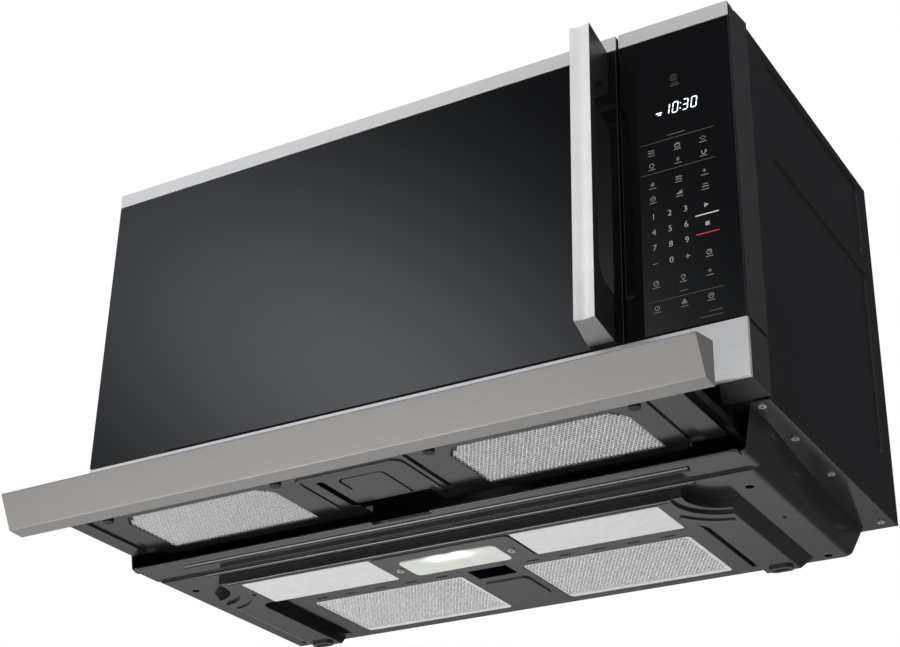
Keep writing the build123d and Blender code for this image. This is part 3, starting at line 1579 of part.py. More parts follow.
flange_y = chassis_front + sheet
flange_weld = 0.5  # how far the flange runs into the walls
jog = (-41.0, 26.0)  # where the hem steps back behind the blower's intake
jog_depth = 5.5
filter_y = front + base_filter_front
base_filter_depth = -base_filter_tail - filter_y
foot_x = plateau_half - foot_inset
lamp_y = front + lamp_front + lamp_depth / 2
lamp_screw_x = lamp_half_width - 15
lens_y = front + lens_setback
with BuildPart(mode=Mode.PRIVATE) as hem:
    hem_half = pan_shelf_half - pan_fold_radius + sheet
    with BuildSketch(at_x(-hem_half)):
        with Locations((front + pan_lip_setback + hem_depth / 2, pan_floor - hem_drop + 1.5)):
            RectangleRounded(hem_depth, 3, 1.4)
    extrude(amount=2 * hem_half)
    with BuildSketch(at_z(pan_floor - 5)):
        with Locations((0, front + pan_lip_setback + 20)):
            RectangleRounded(2 * hem_half, 40, pan_fold_radius)
    extrude(amount=10, mode=Mode.INTERSECT)
    block(
        jog[0], jog[1], front + pan_lip_setback - 1, front + pan_lip_setback + jog_depth, pan_floor - 5,
        pan_floor + 5, Mode.SUBTRACT,
    )
with BuildPart() as base_pan:
    add(pan_form(0, 0, 0))
    add(pan_form(sheet, 3, 20), mode=Mode.SUBTRACT)
    add(hem.part)
    # flange that the cabinet screws pass through
    with BuildSketch(at_z(bottom)):
        with BuildLine():
            rim = (
                (pan_top_half - flange_weld, pan_step_y),
                (pan_waist_half - flange_weld, front + pan_waist_setback),
                (pan_tail_half - flange_weld, -pan_tail_rim - flange_weld),
            )
            outline = [(rim[0][0], flange_y), *rim]
            outer = [(inner_side, -sheet), (inner_side, flange_y)]
            Polyline(
                *outline, *[(-x, y) for x, y in reversed(outline)],
                *[(-x, y) for x, y in reversed(outer)], *outer,
                close=True,
            )
        make_face()
        for setback in flange_screws:
            for side in (-1, 1):
                with Locations((side * flange_screw_x, front + setback)):
                    Circle(flange_hole_radius, mode=Mode.SUBTRACT)
    extrude(amount=sheet)
    # beads behind the hem and along the step
    bead(pan_lip_setback + 22, 4.0, plateau_half - 8, pan_floor + 1.6)
    bead(plateau_setback - 3.2, 3.0, plateau_half - 14, band_floor + 1.4)
    # raised arc round each scoop
    for side, start_angle in ((-1, 30), (1, 100)):
        with BuildSketch(at_z(plateau_low - 1.4)):
            with BuildLine():
                CenterArc((side * scoop_x, scoop_y), scoop_radius + 26, start_angle, 50)
            trace(line_width=4)
        extrude(amount=1.4 + sheet / 2)
    # feet under the plateau's rear corners
    for side in (-1, 1):
        with BuildSketch(at_z(plateau_low - 2.5)):
            with Locations((side * foot_x, -foot_tail)):
                SlotOverall(foot_length, foot_width)
                SlotOverall(foot_length - 9, foot_width - 9, mode=Mode.SUBTRACT)
        extrude(amount=2.5 + sheet / 2)
    # fixing holes in the side bands
    band_hole_x = half_cabinet - 54.5
    for y, radius in ((front + 129, 4.2), (front + 217, 2.0), (-70, 4.2)):
        for side in (-1, 1):
            rod_z(side * band_hole_x, y, band_floor - 5, band_floor + 5, radius, Mode.SUBTRACT)
    # filter openings
    for side in (-1, 1):
        with BuildSketch(at_z(ceiling_low - 3)):
            with Locations(
                (side * (base_filter_inner + base_filter_outer) / 2, filter_y + base_filter_depth / 2)
            ):
                RectangleRounded(base_filter_outer - base_filter_inner, base_filter_depth, 5)
        extrude(amount=8, mode=Mode.SUBTRACT)
        # five short slots in front of each filter
        with BuildSketch(at_z(ceiling_low - 3)):
            with Locations((side * (base_filter_inner + base_filter_outer) / 2, filter_y - 10)):
                with GridLocations(38, 1, 5, 1):
                    Rectangle(14, 3)
        extrude(amount=8, mode=Mode.SUBTRACT)
    # window and pressed rectangle between the filters
    with BuildSketch(at_z(ceiling_low - 3)):
        with Locations((0, filter_y - 1.5)):
            Rectangle(2 * base_filter_inner - 26, 35)
    extrude(amount=8, mode=Mode.SUBTRACT)
    with BuildSketch(at_z(ceiling_low - 1.5)):
        with Locations((0, filter_y + 60)):
            RectangleRounded(2 * base_filter_inner - 20, 60, 6)
    extrude(amount=1.5 + sheet / 2)
    # lamp opening and its screw holes
    with BuildSketch(at_z(plateau_low - 3)):
        with Locations((0, lens_y)):
            RectangleRounded(2 * lens_half_width + 6, lens_depth + 6, 8)
        for side in (-1, 1):
            with Locations((side * lamp_screw_x, lens_y)):
                Circle(1.9)
    extrude(amount=8, mode=Mode.SUBTRACT)
base_pan.part.label = "base_pan"
export_step(base_pan.part, "parts/base_pan.step")

# ---- Screws that hold the base pan to the cabinet and the lamp bracket to the pan ------------
with BuildPart() as cabinet_screws:
    screw_seats = [
        (side * flange_screw_x, front + setback, bottom) for setback in flange_screws for side in (-1, 1)
    ]
    screw_seats += [(side * lamp_screw_x, lens_y, plateau_low - sheet) for side in (-1, 1)]
    for x, y, seat in screw_seats:
        rod_z(x, y, seat - 1.8, seat, 3.8)
        with BuildSketch(at_z(seat)):
            with Locations((x, y)):
                RegularPolygon(flange_screw_radius, 6)
        extrude(amount=5)
cabinet_screws.part.label = "cabinet_screws"
export_step(cabinet_screws.part, "parts/cabinet_screws.step")

# ---- Base grease filters, laid over the openings ---------------------------------------------
with BuildPart() as base_filter_right:
    mesh_filter(
        base_filter_inner - filter_lap, base_filter_outer + filter_lap, filter_y - filter_lap,
        filter_y + base_filter_depth + filter_lap, ceiling_low + sheet, filter_rim, filter_thickness,
    )
base_filter_right.part.label = "base_filter_right"
export_step(base_filter_right.part, "parts/base_filter_right.step")

with BuildPart() as base_filter_left:
    mesh_filter(
        -base_filter_outer - filter_lap, -base_filter_inner + filter_lap, filter_y - filter_lap,
        filter_y + base_filter_depth + filter_lap, ceiling_low + sheet, filter_rim, filter_thickness,
    )
base_filter_left.part.label = "base_filter_left"
export_step(base_filter_left.part, "parts/base_filter_left.step")

# ---- Cooktop lamp: bracket, lens and board ---------------------------------------------------
with BuildPart() as lamp_bracket:
    with BuildSketch(at_z(plateau_low - sheet)):
        with Locations((0, lamp_y)):
            RectangleRounded(2 * lamp_half_width, lamp_depth, 6)
        with Locations((14, lamp_y + lamp_depth / 2 + 2)):
            Rectangle(48, 12)
        with Locations((0, lens_y)):
            RectangleRounded(2 * lens_half_width + 0.6, lens_depth + 0.6, 6, mode=Mode.SUBTRACT)
        for side in (-1, 1):
            with Locations((side * lamp_screw_x, lens_y)):
                Circle(1.9, mode=Mode.SUBTRACT)
    extrude(amount=sheet)
lamp_bracket.part.label = "lamp_bracket"
export_step(lamp_bracket.part, "parts/lamp_bracket.step")

lens_dome = 2.2
with BuildPart() as lamp_lens:
    with BuildSketch(at_z(plateau_low - lens_dome)):
        with Locations((0, lens_y)):
            RectangleRounded(2 * lens_half_width, lens_depth, 6)
    extrude(amount=lens_dome + 2)
    with BuildSketch(at_z(plateau_low)):
        with Locations((0, lens_y)):
            RectangleRounded(2 * lens_half_width + 4, lens_depth + 4, 7)
    extrude(amount=sheet)
    with BuildSketch(at_z(plateau_low - lens_dome + 1.2)):
        with Locations((0, lens_y)):
            RectangleRounded(2 * lens_half_width - 4, lens_depth - 4, 5)
    extrude(amount=10, mode=Mode.SUBTRACT)
lamp_lens.part.label = "lamp_lens"
export_step(lamp_lens.part, "parts/lamp_lens.step")

with BuildPart() as lamp_board:
    board_z = plateau_low + 2
    with BuildSketch(at_z(board_z)):
        with Locations((0, lens_y)):
            Rectangle(2 * lens_half_width + 14, lens_depth - 8)
    extrude(amount=1.6)
    for index in range(6):
        x = (index - 2.5) * 18
        block(x - 2, x + 2, lens_y - 2, lens_y + 2, board_z - 1, board_z)
    for side in (-1, 1):
        x = side * (lens_half_width + 5)
        block(x - 2, x + 2, lens_y - 8, lens_y + 8, plateau_low + sheet, board_z)
lamp_board.part.label = "lamp_board"
export_step(lamp_board.part, "parts/lamp_board.step")
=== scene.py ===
"""Looks for the over-the-range microwave: finishes, filter mesh, panel marks, studio and camera."""
import math
import random

import bmesh
import bpy
from mathutils import Matrix, Vector


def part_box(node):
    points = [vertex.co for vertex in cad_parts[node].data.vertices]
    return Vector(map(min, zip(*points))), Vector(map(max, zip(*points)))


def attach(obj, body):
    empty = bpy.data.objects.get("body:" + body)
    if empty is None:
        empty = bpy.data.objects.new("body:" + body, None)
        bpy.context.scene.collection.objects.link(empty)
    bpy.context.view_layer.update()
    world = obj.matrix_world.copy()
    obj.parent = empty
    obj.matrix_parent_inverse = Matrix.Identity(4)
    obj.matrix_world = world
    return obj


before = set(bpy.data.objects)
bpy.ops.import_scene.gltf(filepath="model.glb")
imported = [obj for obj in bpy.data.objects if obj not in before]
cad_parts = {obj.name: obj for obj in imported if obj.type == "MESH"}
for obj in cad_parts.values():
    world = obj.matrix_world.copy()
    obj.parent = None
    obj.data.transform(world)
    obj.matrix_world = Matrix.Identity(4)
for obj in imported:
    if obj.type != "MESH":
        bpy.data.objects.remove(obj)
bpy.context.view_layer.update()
MM = 0.001

# Places in the part's frame, millimetres.
FRONT = -409.0  # face of the door's and the panel's glass
FASCIA = -203.6  # lower edge of the front
PLATEAU = FASCIA - 62.0  # the step in the base pan that carries the pale plates
CEILING = FASCIA - 52.0  # top of the recess that holds the base filters
TRAY = FASCIA - 34.0  # underside of the vent tray


# ---- Node trees ------------------------------------------------------------------------------
class Graph:
    """Adds nodes to the tree of a material or of the world."""

    def __init__(self, owner):
        owner.use_nodes = True
        self.nodes, self.links = owner.node_tree.nodes, owner.node_tree.links

    def feed(self, socket, value):
        """Links a socket to another one, or sets it to a number, colour or vector."""
        if isinstance(value, bpy.types.NodeSocket):
            self.links.new(value, socket)
        elif value is not None:
            socket.default_value = value

    def add(self, kind, **inputs):
        """A new node with its sockets fed; an underscore stands for a space in a socket's name."""
        node = self.nodes.new("ShaderNode" + kind)
        for name, value in inputs.items():
            self.feed(node.inputs[name.replace("_", " ")], value)
        return node

    def operate(self, kind, operation, values):
        """A node that does one operation on its values, in order."""
        node = self.add(kind)
        node.operation = operation
        for socket, value in zip(node.inputs, values):
            self.feed(socket, value)
        return node

    def math(self, operation, *values):
        """The result of a math node."""
        return self.operate("Math", operation, values).outputs["Value"]

    def vector(self, operation, *values):
        """A vector math node."""
        return self.operate("VectorMath", operation, values)

    def dot(self, point, axis):
        """How far a point reaches along an axis."""
        return self.vector("DOT_PRODUCT", point, axis).outputs["Value"]

    def remap(self, value, source=(0.0, 1.0), target=(0.0, 1.0), interpolation="LINEAR"):
        """A value taken from one range to another and held at both ends."""
        node = self.add("MapRange", Value=value, From_Min=source[0], From_Max=source[1], To_Min=target[0],
                        To_Max=target[1])
        node.interpolation_type = interpolation
        return node.outputs["Result"]

    def mix(self, factor, first, second):
        """The first shader where the factor is 0 and the second where it is 1."""
        node = self.add("MixShader")
        for socket, value in zip(node.inputs, (factor, first, second)):
            self.feed(socket, value)
        return node.outputs["Shader"]

    def soft_spot(self, point, centre, widths, strength, axes=((1, 0, 0), (0, 1, 0))):
        """A smooth oval glow: strongest at the centre, fading over a width along each axis."""
        away = self.vector("SUBTRACT", point, centre).outputs["Vector"]
        squares = [self.math("POWER", self.math("ABSOLUTE", self.dot(away, [c / width for c in axis])), 2.0)
                   for axis, width in zip(axes, widths)]
        fade = self.math("EXPONENT", self.math("MULTIPLY", self.math("ADD", *squares), -1.0))
        return self.math("MULTIPLY", fade, strength)


# ---- Finishes --------------------------------------------------------------------------------
def finish(name, low, high, rough, metal=0.0, grain=60.0, stretch=(1, 1, 1), bump=0.0, pores=900.0,
           rough_swing=0.08, edge=0.0, **shader):
    """A procedural finish: colour and gloss drift with a noise, pores lift it, edges are rounded."""
    mat = bpy.data.materials.new(name)
    graph = Graph(mat)
    surface = graph.nodes["Principled BSDF"]
    surface.inputs["Metallic"].default_value = metal
    for socket, value in shader.items():
        surface.inputs[socket.replace("_", " ")].default_value = value
    place = graph.add("TexCoord").outputs["Object"]
    scaled = graph.add("Mapping", Vector=place, Scale=stretch).outputs["Vector"]
    drift = graph.add("TexNoise", Vector=scaled, Scale=grain, Detail=6.0).outputs["Fac"]
    ramp = graph.add("ValToRGB", Fac=drift)
    for stop, position, colour in zip(ramp.color_ramp.elements, (0.3, 0.7), (low, high)):
        stop.position = position
        stop.color = (*colour, 1.0)
    graph.feed(surface.inputs["Base Color"], ramp.outputs["Color"])
    swing = (max(0.02, rough - rough_swing), min(1.0, rough + rough_swing))
    graph.feed(surface.inputs["Roughness"], graph.remap(drift, target=swing))
    normal = None
    if edge:
        worn = graph.add("Bevel", Radius=edge)
        worn.samples = 4
        normal = worn.outputs["Normal"]
    if bump:
        fine = graph.add("TexNoise", Vector=scaled, Scale=pores, Detail=3.0).outputs["Fac"]
        lift = graph.add("Bump", Strength=bump, Distance=0.4 * MM, Height=fine, Normal=normal)
        normal = lift.outputs["Normal"]
    graph.feed(surface.inputs["Normal"], normal)
    return mat


def grey(value, warm=0.0):
    """A linear grey, a little warmer or cooler."""
    return (value * (1 + warm), value, value * (1 - warm))


def glow(name, colour, strength):
    """A finish that lights itself."""
    mat = finish(name, colour, colour, 0.4, grain=50)
    surface = mat.node_tree.nodes["Principled BSDF"]
    surface.inputs["Emission Color"].default_value = (*colour, 1.0)
    surface.inputs["Emission Strength"].default_value = strength
    return mat


BLACK_STEEL = finish("satin_black_steel", grey(0.009, -0.03), grey(0.012, -0.03), 0.36, grain=14, bump=0.10,
                     pores=1400, edge=0.8 * MM, Specular_IOR_Level=0.30)
PAN_ENAMEL = finish("black_pan_enamel", grey(0.009), grey(0.012), 0.20, grain=18, bump=0.06, pores=420,
                    rough_swing=0.05, edge=1.2 * MM, Coat_Weight=0.5, Coat_Roughness=0.10)
TRAY_ENAMEL = finish("tray_enamel", grey(0.006), grey(0.009), 0.24, grain=18, bump=0.06, pores=420,
                     rough_swing=0.05, edge=1.0 * MM, Coat_Weight=0.4, Coat_Roughness=0.14)
GALVANISED = finish("galvanised_steel", grey(0.46), grey(0.60), 0.40, metal=0.7, grain=90, bump=0.05,
                    edge=0.6 * MM)
DARK_STEEL = finish("dark_steel", grey(0.035), grey(0.050), 0.42, metal=0.6, grain=70, bump=0.08)
CAVITY = finish("cavity_enamel", grey(0.50), grey(0.56), 0.30, grain=30, bump=0.04)
BLACK_GLASS = finish("black_glass", grey(0.002, -0.1), grey(0.003, -0.1), 0.05, grain=8, rough_swing=0.015)
SILVER = finish("satin_silver", grey(0.71), grey(0.76), 0.36, metal=0.6, grain=30, stretch=(1, 40, 40),
                bump=0.05, pores=60, edge=0.6 * MM)
BLACK_PLASTIC = finish("black_plastic", grey(0.025, -0.02), grey(0.032, -0.02), 0.44, bump=0.18, pores=1800,
                       Specular_IOR_Level=0.4)
HANDLE = finish("handle_silver", grey(0.82, 0.005), grey(0.87, 0.005), 0.38, metal=0.45, grain=40, bump=0.05,
                pores=900, edge=0.8 * MM)
VISOR = finish("visor_silver", grey(0.235, 0.045), grey(0.262, 0.045), 0.42, metal=0.45, grain=40,
               stretch=(1, 60, 60), bump=0.06, pores=60, edge=0.9 * MM)
MESH = finish("bright_mesh", grey(0.62), grey(0.93), 0.22, metal=0.35, grain=300, rough_swing=0.1)
BASE_MESH = finish("base_mesh", grey(0.86), grey(0.99), 0.28, metal=0.15, grain=300, rough_swing=0.1)
# The pads under the mesh strands are near-black: painted shade inside the filters' holes.
FILTER_PAD = finish("filter_pad", grey(0.004), grey(0.10), 0.45, metal=0.7, grain=620, bump=0.8, pores=900)
BASE_PAD = finish("base_pad", grey(0.005), grey(0.26), 0.45, metal=0.5, grain=620, bump=0.8, pores=900)
RIM = finish("filter_rim", grey(0.66), grey(0.76), 0.34, metal=0.4, grain=120, bump=0.04)
TURNTABLE = finish("turntable_glass", (0.80, 0.86, 0.86), (0.84, 0.89, 0.89), 0.06, Transmission_Weight=0.9,
                   IOR=1.5)
WINDOW = finish("window_glass", grey(0.02), grey(0.03), 0.08, Transmission_Weight=0.7, IOR=1.5)
WHITE_PLASTIC = finish("white_plastic", grey(0.62, 0.02), grey(0.68, 0.02), 0.45, bump=0.1)
DARK_PLASTIC = finish("dark_runner", grey(0.016), grey(0.022), 0.40, bump=0.12, pores=1200)
MICA = finish("mica", (0.46, 0.42, 0.33), (0.58, 0.54, 0.44), 0.5, grain=180, bump=0.1)
ZINC = finish("zinc_screw", grey(0.50), grey(0.68), 0.30, metal=0.7, grain=200)
MOTOR = finish("motor_steel", grey(0.34), grey(0.42), 0.40, metal=0.7, grain=80)
CORE = finish("varnished_core", (0.16, 0.09, 0.05), (0.24, 0.14, 0.08), 0.42, grain=120, bump=0.2)
CIRCUIT = finish("circuit_board", (0.02, 0.16, 0.07), (0.03, 0.20, 0.09), 0.40, grain=150, bump=0.1)
CHARCOAL = finish("charcoal_pad", grey(0.02), grey(0.05), 0.95, grain=600, bump=0.9, pores=700)
RUBBER = finish("black_rubber", grey(0.014), grey(0.020), 0.70, bump=0.2, pores=1200)
DISPLAY = finish("display_module", grey(0.010), grey(0.013), 0.12, grain=20)
SPRING = finish("spring_wire", grey(0.45), grey(0.52), 0.3, metal=1.0)
PLATE = finish("pale_plate", grey(0.49), grey(0.56), 0.38, grain=120, bump=0.05)
PRINT = finish("panel_print", grey(0.30), grey(0.33), 0.5, grain=300)
PRINT_SOFT = finish("panel_print_soft", grey(0.27), grey(0.30), 0.5, grain=300)
PRINT_DIM = finish("panel_print_dim", grey(0.085), grey(0.10), 0.5, grain=300)
PRINT_WHITE = finish("panel_line_white", grey(0.62), grey(0.68), 0.5, grain=300)
PRINT_RED = finish("panel_line_red", (0.55, 0.02, 0.03), (0.62, 0.03, 0.04), 0.5, grain=300)


FACING_FRONT = 0.8  # a face whose normal has more than this along y isn't painted darker in the grip


def shade_handle_sides(mat, dark, threshold, grip):
    """Painted shade: faces turned sideways, and those inside the grip, get a darker base colour than the
    satin front.
    """
    graph = Graph(mat)
    place = graph.add("TexCoord")
    turn = graph.add("SeparateXYZ", Vector=place.outputs["Normal"])
    sideways = graph.remap(graph.math("ABSOLUTE", turn.outputs["X"]), threshold)
    height = graph.add("SeparateXYZ", Vector=place.outputs["Object"]).outputs["Z"]
    middle, half = grip
    inside = graph.math("LESS_THAN", graph.math("ABSOLUTE", graph.math("SUBTRACT", height, middle)), half)
    off_front = graph.math("LESS_THAN", graph.math("ABSOLUTE", turn.outputs["Y"]), FACING_FRONT)
    # painted shade: the darker colour goes on sideways faces and on faces in the finger gap, where shade
    # falls
    painted_shade = graph.math("MAXIMUM", sideways, graph.math("MULTIPLY", inside, off_front))
    base_colour = mat.node_tree.nodes["Principled BSDF"].inputs["Base Color"]
    satin = base_colour.links[0].from_socket
    shade = graph.add("Mix")
    shade.data_type = "RGBA"
    for socket, value in (("Factor", painted_shade), ("A", satin), ("B", (*dark, 1.0))):
        graph.feed(shade.inputs[socket], value)
    graph.feed(base_colour, shade.outputs["Result"])


GRIP_END = 10 * MM  # solid end of the handle beyond its finger gap
handle_low, handle_high = (corner[2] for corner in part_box("door_handle"))
# Painted shade on the handle's sideways faces and inside its finger gap.
shade_handle_sides(HANDLE, (0.028, 0.026, 0.025), (0.75, 0.97),
             ((handle_low + handle_high) / 2, (handle_high - handle_low) / 2 - GRIP_END))
DIGIT_GLOW = glow("display_digits", (0.9, 0.95, 1.0), 1.2)

# Light behind the lamp's cover, millimetres: x, distance behind the front, width across, strength.
LAMP_SPOTS = [(-12, 124, 9, 1.1), (14, 124, 9, 1.4), (4, 126, 26, 0.45)]
LAMP_SPOT_DEPTH = 7
LAMP_LEVEL = 0.01  # the cover's glow away from the spots


def lamp_cover():
    """A frosted cover lit from behind: brightest near its front edge, where the chips sit."""
    mat = finish("lamp_cover", (0.50, 0.53, 0.48), (0.56, 0.59, 0.54), 0.30, grain=60, bump=0.1)
    graph = Graph(mat)
    surface = graph.nodes["Principled BSDF"]
    place = graph.add("TexCoord").outputs["Object"]
    light = LAMP_LEVEL
    for x, setback, width, strength in LAMP_SPOTS:
        spot = graph.soft_spot(place, (x * MM, (FRONT + setback) * MM, 0),
                               (width * MM, LAMP_SPOT_DEPTH * MM), strength)
        light = graph.math("ADD", spot, light)
    surface.inputs["Emission Color"].default_value = (1.0, 0.96, 0.86, 1.0)
    graph.feed(surface.inputs["Emission Strength"], light)
    return mat


LAMP = lamp_cover()

NODE_FINISH = {
    BLACK_STEEL: ["outer_wrap", "front_frame", "choke_pan"],
    PAN_ENAMEL: ["base_pan", "lamp_bracket"],
    TRAY_ENAMEL: ["vent_tray"],
    GALVANISED: ["back_plate", "waveguide", "blower_housing", "exhaust_adapter", "hinge_brackets",
                 "damper_flap"],
    DARK_STEEL: ["chassis_base", "slide_rails"],
    CAVITY: ["cavity_liner"],
    MICA: ["waveguide_cover"],
    MOTOR: ["magnetron", "capacitor", "fan_motor", "turntable_motor", "blower_motor"],
    CORE: ["transformer"],
    WHITE_PLASTIC: ["fan_shroud", "cavity_lamp", "latch_board", "latch_hook", "turntable_coupler",
                    "roller_ring", "fan_blade"],
    DARK_PLASTIC: ["tray_runners"],
    BLACK_PLASTIC: ["exhaust_grille", "lower_fascia", "control_housing", "door_bezel", "choke_cover",
                    "visor_core", "blower_rotor"],
    CHARCOAL: ["charcoal_filter"],
    SILVER: ["lower_trim_bar", "panel_top_strip", "door_top_strip"],
    BLACK_GLASS: ["control_glass", "door_glass"],
    DISPLAY: ["display_module"],
    CIRCUIT: ["control_board", "lamp_board"],
    ZINC: ["cabinet_screws", "handle_screws"],
    FILTER_PAD: ["tray_filter_right", "tray_filter_left"],
    BASE_PAD: ["base_filter_right", "base_filter_left"],
    LAMP: ["lamp_lens"],
    WINDOW: ["inner_window"],
    HANDLE: ["door_handle"],
    SPRING: ["latch_spring"],
    VISOR: ["visor"],
    RUBBER: ["tray_bumpers", "cord_bushing"],
    TURNTABLE: ["turntable_plate"],
}
for mat, names in NODE_FINISH.items():
    for node in names:
        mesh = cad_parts[node].data
        mesh.materials.clear()
        mesh.materials.append(mat)


# ---- Mesh helpers ----------------------------------------------------------------------------
def piece(name, mesh, mat, body):
    """A named object that rides on a body of the part."""
    obj = bpy.data.objects.new(name, mesh)
    bpy.context.scene.collection.objects.link(obj)
    obj.data.materials.append(mat)
    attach(obj, body)
    return obj


def mesh_from(name, verts, faces):
    """A mesh from points in millimetres."""
    mesh = bpy.data.meshes.new(name)
    mesh.from_pydata([[c * MM for c in v] for v in verts], [], faces)
    mesh.update()
    return mesh


def rounded_outline(x0, x1, y0, y1, radius, steps=6):
    """Corner-rounded rectangle as a list of points, counter-clockwise."""
    points = []
    for cx, cy, start in ((x1 - radius, y1 - radius, 0), (x0 + radius, y1 - radius, 90),
                          (x0 + radius, y0 + radius, 180), (x1 - radius, y0 + radius, 270)):
        for step in range(steps + 1):
            angle = math.radians(start + 90 * step / steps)
            points.append((cx + radius * math.cos(angle), cy + radius * math.sin(angle)))
    return points


def slab(outline, low, high, to_space):
    """Closed prism over an outline; to_space turns (u, v, w) into frame millimetres."""
    count = len(outline)
    verts = [to_space(u, v, low) for u, v in outline] + [to_space(u, v, high) for u, v in outline]
    faces = [list(range(count))[::-1], list(range(count, 2 * count))]
    faces += [[i, (i + 1) % count, count + (i + 1) % count, count + i] for i in range(count)]
    return verts, faces


def join(parts):
    """Joins (verts, faces) pairs into one."""
    verts, faces = [], []
    for part_verts, part_faces in parts:
        base = len(verts)
        verts += part_verts
        faces += [[i + base for i in face] for face in part_faces]
    return verts, faces


# ---- Filter mesh: expanded strands under each pad --------------------------------------------
MESH_PITCH = (4.1, 6.8)  # a diamond's width and length
STRAND_WIDTH = 1.0
STRAND_DEPTH = 0.9
STRAND_TILT = 0.3  # a strand's rise or fall along its length, as a share of its depth
WIDTH_SPREAD = (0.75, 1.25)  # drawn for each strand
TILT_SPREAD = (0.2, 1.8)


def expanded_mesh(name, x0, x1, y0, y1, z, cut, body, mat):
    """Diamond lattice of three-sided strands, seen from below; cut trims the front corners."""
    columns = int((x1 - x0) / (MESH_PITCH[0] / 2))
    rows = int((y1 - y0) / (MESH_PITCH[1] / 2))
    half_x, half_y = (x1 - x0) / columns, (y1 - y0) / rows
    length = math.hypot(half_x, half_y)
    drawn = random.Random(11)
    verts, faces = [], []
    for i in range(columns):
        for j in range(rows):
            wide = STRAND_WIDTH * drawn.uniform(*WIDTH_SPREAD)
            middle_x, middle_y = x0 + (i + 0.5) * half_x, y0 + (j + 0.5) * half_y
            if min(middle_x - x0, x1 - middle_x) + middle_y - y0 < cut:
                continue
            rising = (i + j) % 2 == 0
            ax, ay = x0 + i * half_x, y0 + (j if rising else j + 1) * half_y
            bx, by = x0 + (i + 1) * half_x, y0 + (j + 1 if rising else j) * half_y
            nx, ny = -(by - ay) / length * wide / 2, (bx - ax) / length * wide / 2
            tilt = STRAND_DEPTH * (STRAND_TILT if rising else -STRAND_TILT) * drawn.uniform(*TILT_SPREAD)
            base = len(verts)
            verts += [(ax - nx, ay - ny, z), (bx - nx, by - ny, z), (bx, by, z - STRAND_DEPTH + tilt),
                      (ax, ay, z - STRAND_DEPTH - tilt), (ax + nx, ay + ny, z), (bx + nx, by + ny, z)]
            faces += [[base, base + 1, base + 2, base + 3], [base + 3, base + 2, base + 5, base + 4],
                      [base, base + 4, base + 5, base + 1], [base, base + 3, base + 4],
                      [base + 1, base + 5, base + 2]]
    piece(name, mesh_from(name, verts, faces), mat, body)


RIM_INSET = 0.3  # the rim's outline inside the mesh's edge
RIM_DROP = 0.6  # the rim's upper face under the mesh's
RIM_HEIGHT = 0.9
RIM_WIDTHS = (1.5, 4.0, 1.2, 7.0)  # left, right, front and back
RIM_CORNERS = (4.5, 2.5)  # outer and inner radius


def rim(name, x0, x1, y0, y1, z, body):
    """A thin frame laid round a filter's mesh."""
    left, right, fore, rear = RIM_WIDTHS
    outer = rounded_outline(x0, x1, y0, y1, RIM_CORNERS[0])
    inner = rounded_outline(x0 + left, x1 - right, y0 + fore, y1 - rear, RIM_CORNERS[1])
    count = len(outer)
    verts, faces = [], []
    for points, level in ((outer, z), (outer, z - RIM_HEIGHT), (inner, z - RIM_HEIGHT), (inner, z)):
        verts += [(x, y, level) for x, y in points]
    for band in range(4):
        near, far = band * count, (band + 1) % 4 * count
        faces += [[near + i, near + (i + 1) % count, far + (i + 1) % count, far + i] for i in range(count)]
    piece(name, mesh_from(name, verts, faces), RIM, body)


# x0, x1, y0, y1 and z of the right mesh, and how far its front corners are cut; the left mirrors it.
TRAY_SPAN = (98.0, 281.0, FRONT - 52, FRONT + 38, TRAY + 1.6, 19.0)
BASE_SPAN = (36.5, 224.5, FRONT + 214.5, FRONT + 327.5, CEILING + 1.9, 0.0)
for kind, body, span, mat in (("tray", "vent_slider", TRAY_SPAN, MESH),
                              ("base", "cabinet", BASE_SPAN, BASE_MESH)):
    x0, x1, y0, y1, z, cut = span
    for side, near, far in (("right", x0, x1), ("left", -x1, -x0)):
        expanded_mesh(f"{kind}_mesh_{side}", near, far, y0, y1, z, cut, body, mat)
        if kind == "base":
            rim(f"{kind}_rim_{side}", near + RIM_INSET, far - RIM_INSET, y0 + RIM_INSET, y1 - RIM_INSET,
                z - RIM_DROP, body)


# ---- Painted shade in the screw heads' cross recesses ----------------------------------------
CROSS_RADIUS = 2.1
CROSS_TURN = 0.5  # radians
CROSS_ARM = 0.22  # half width of an arm as a share of the radius
CROSS_LEVELS = (-0.06, 0.02)  # from just under the head's face to just inside the head


def recess_shade_crosses(name, seats, body):
    """Dark crosses laid on the heads of the screws that face down, as painted shade in their recesses."""
    arm = ((-1, -CROSS_ARM), (1, -CROSS_ARM), (1, CROSS_ARM), (-1, CROSS_ARM))
    parts = []
    for x, y, z in seats:
        for turn in (CROSS_TURN, CROSS_TURN + math.pi / 2):
            c, s = math.cos(turn), math.sin(turn)
            outline = [(x + CROSS_RADIUS * (c * u - s * v), y + CROSS_RADIUS * (s * u + c * v))
                       for u, v in arm]
            parts.append(slab(outline, *CROSS_LEVELS, lambda u, v, w: (u, v, z + w)))
    verts, faces = join(parts)
    piece(name, mesh_from(name, verts, faces), RUBBER, body)


def loose_parts(bm):
    """The points of each connected part of a mesh."""
    seen = set()
    for start in bm.verts:
        if start in seen:
            continue
        group, todo = [], [start]
        seen.add(start)
        while todo:
            vert = todo.pop()
            group.append(vert.co.copy())
            for edge in vert.link_edges:
                other = edge.other_vert(vert)
                if other not in seen:
                    seen.add(other)
                    todo.append(other)
        yield group


def down_faces(node):
    """Centres of the lowest faces of a node's parts, here its screw heads, in millimetres."""
    bm = bmesh.new()
    bm.from_mesh(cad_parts[node].data)
    centres = []
    for group in loose_parts(bm):
        low = min(v.z for v in group)
        face = [v for v in group if v.z < low + 0.1 * MM]
        centres.append([sum(v[axis] for v in face) / len(face) / MM for axis in (0, 1)] + [low / MM])
    bm.free()
    return centres


# Painted shade: dark crosses where the screw heads' recesses are in shade.
recess_shade_crosses("screw_recess_shade", down_faces("cabinet_screws"), "cabinet")

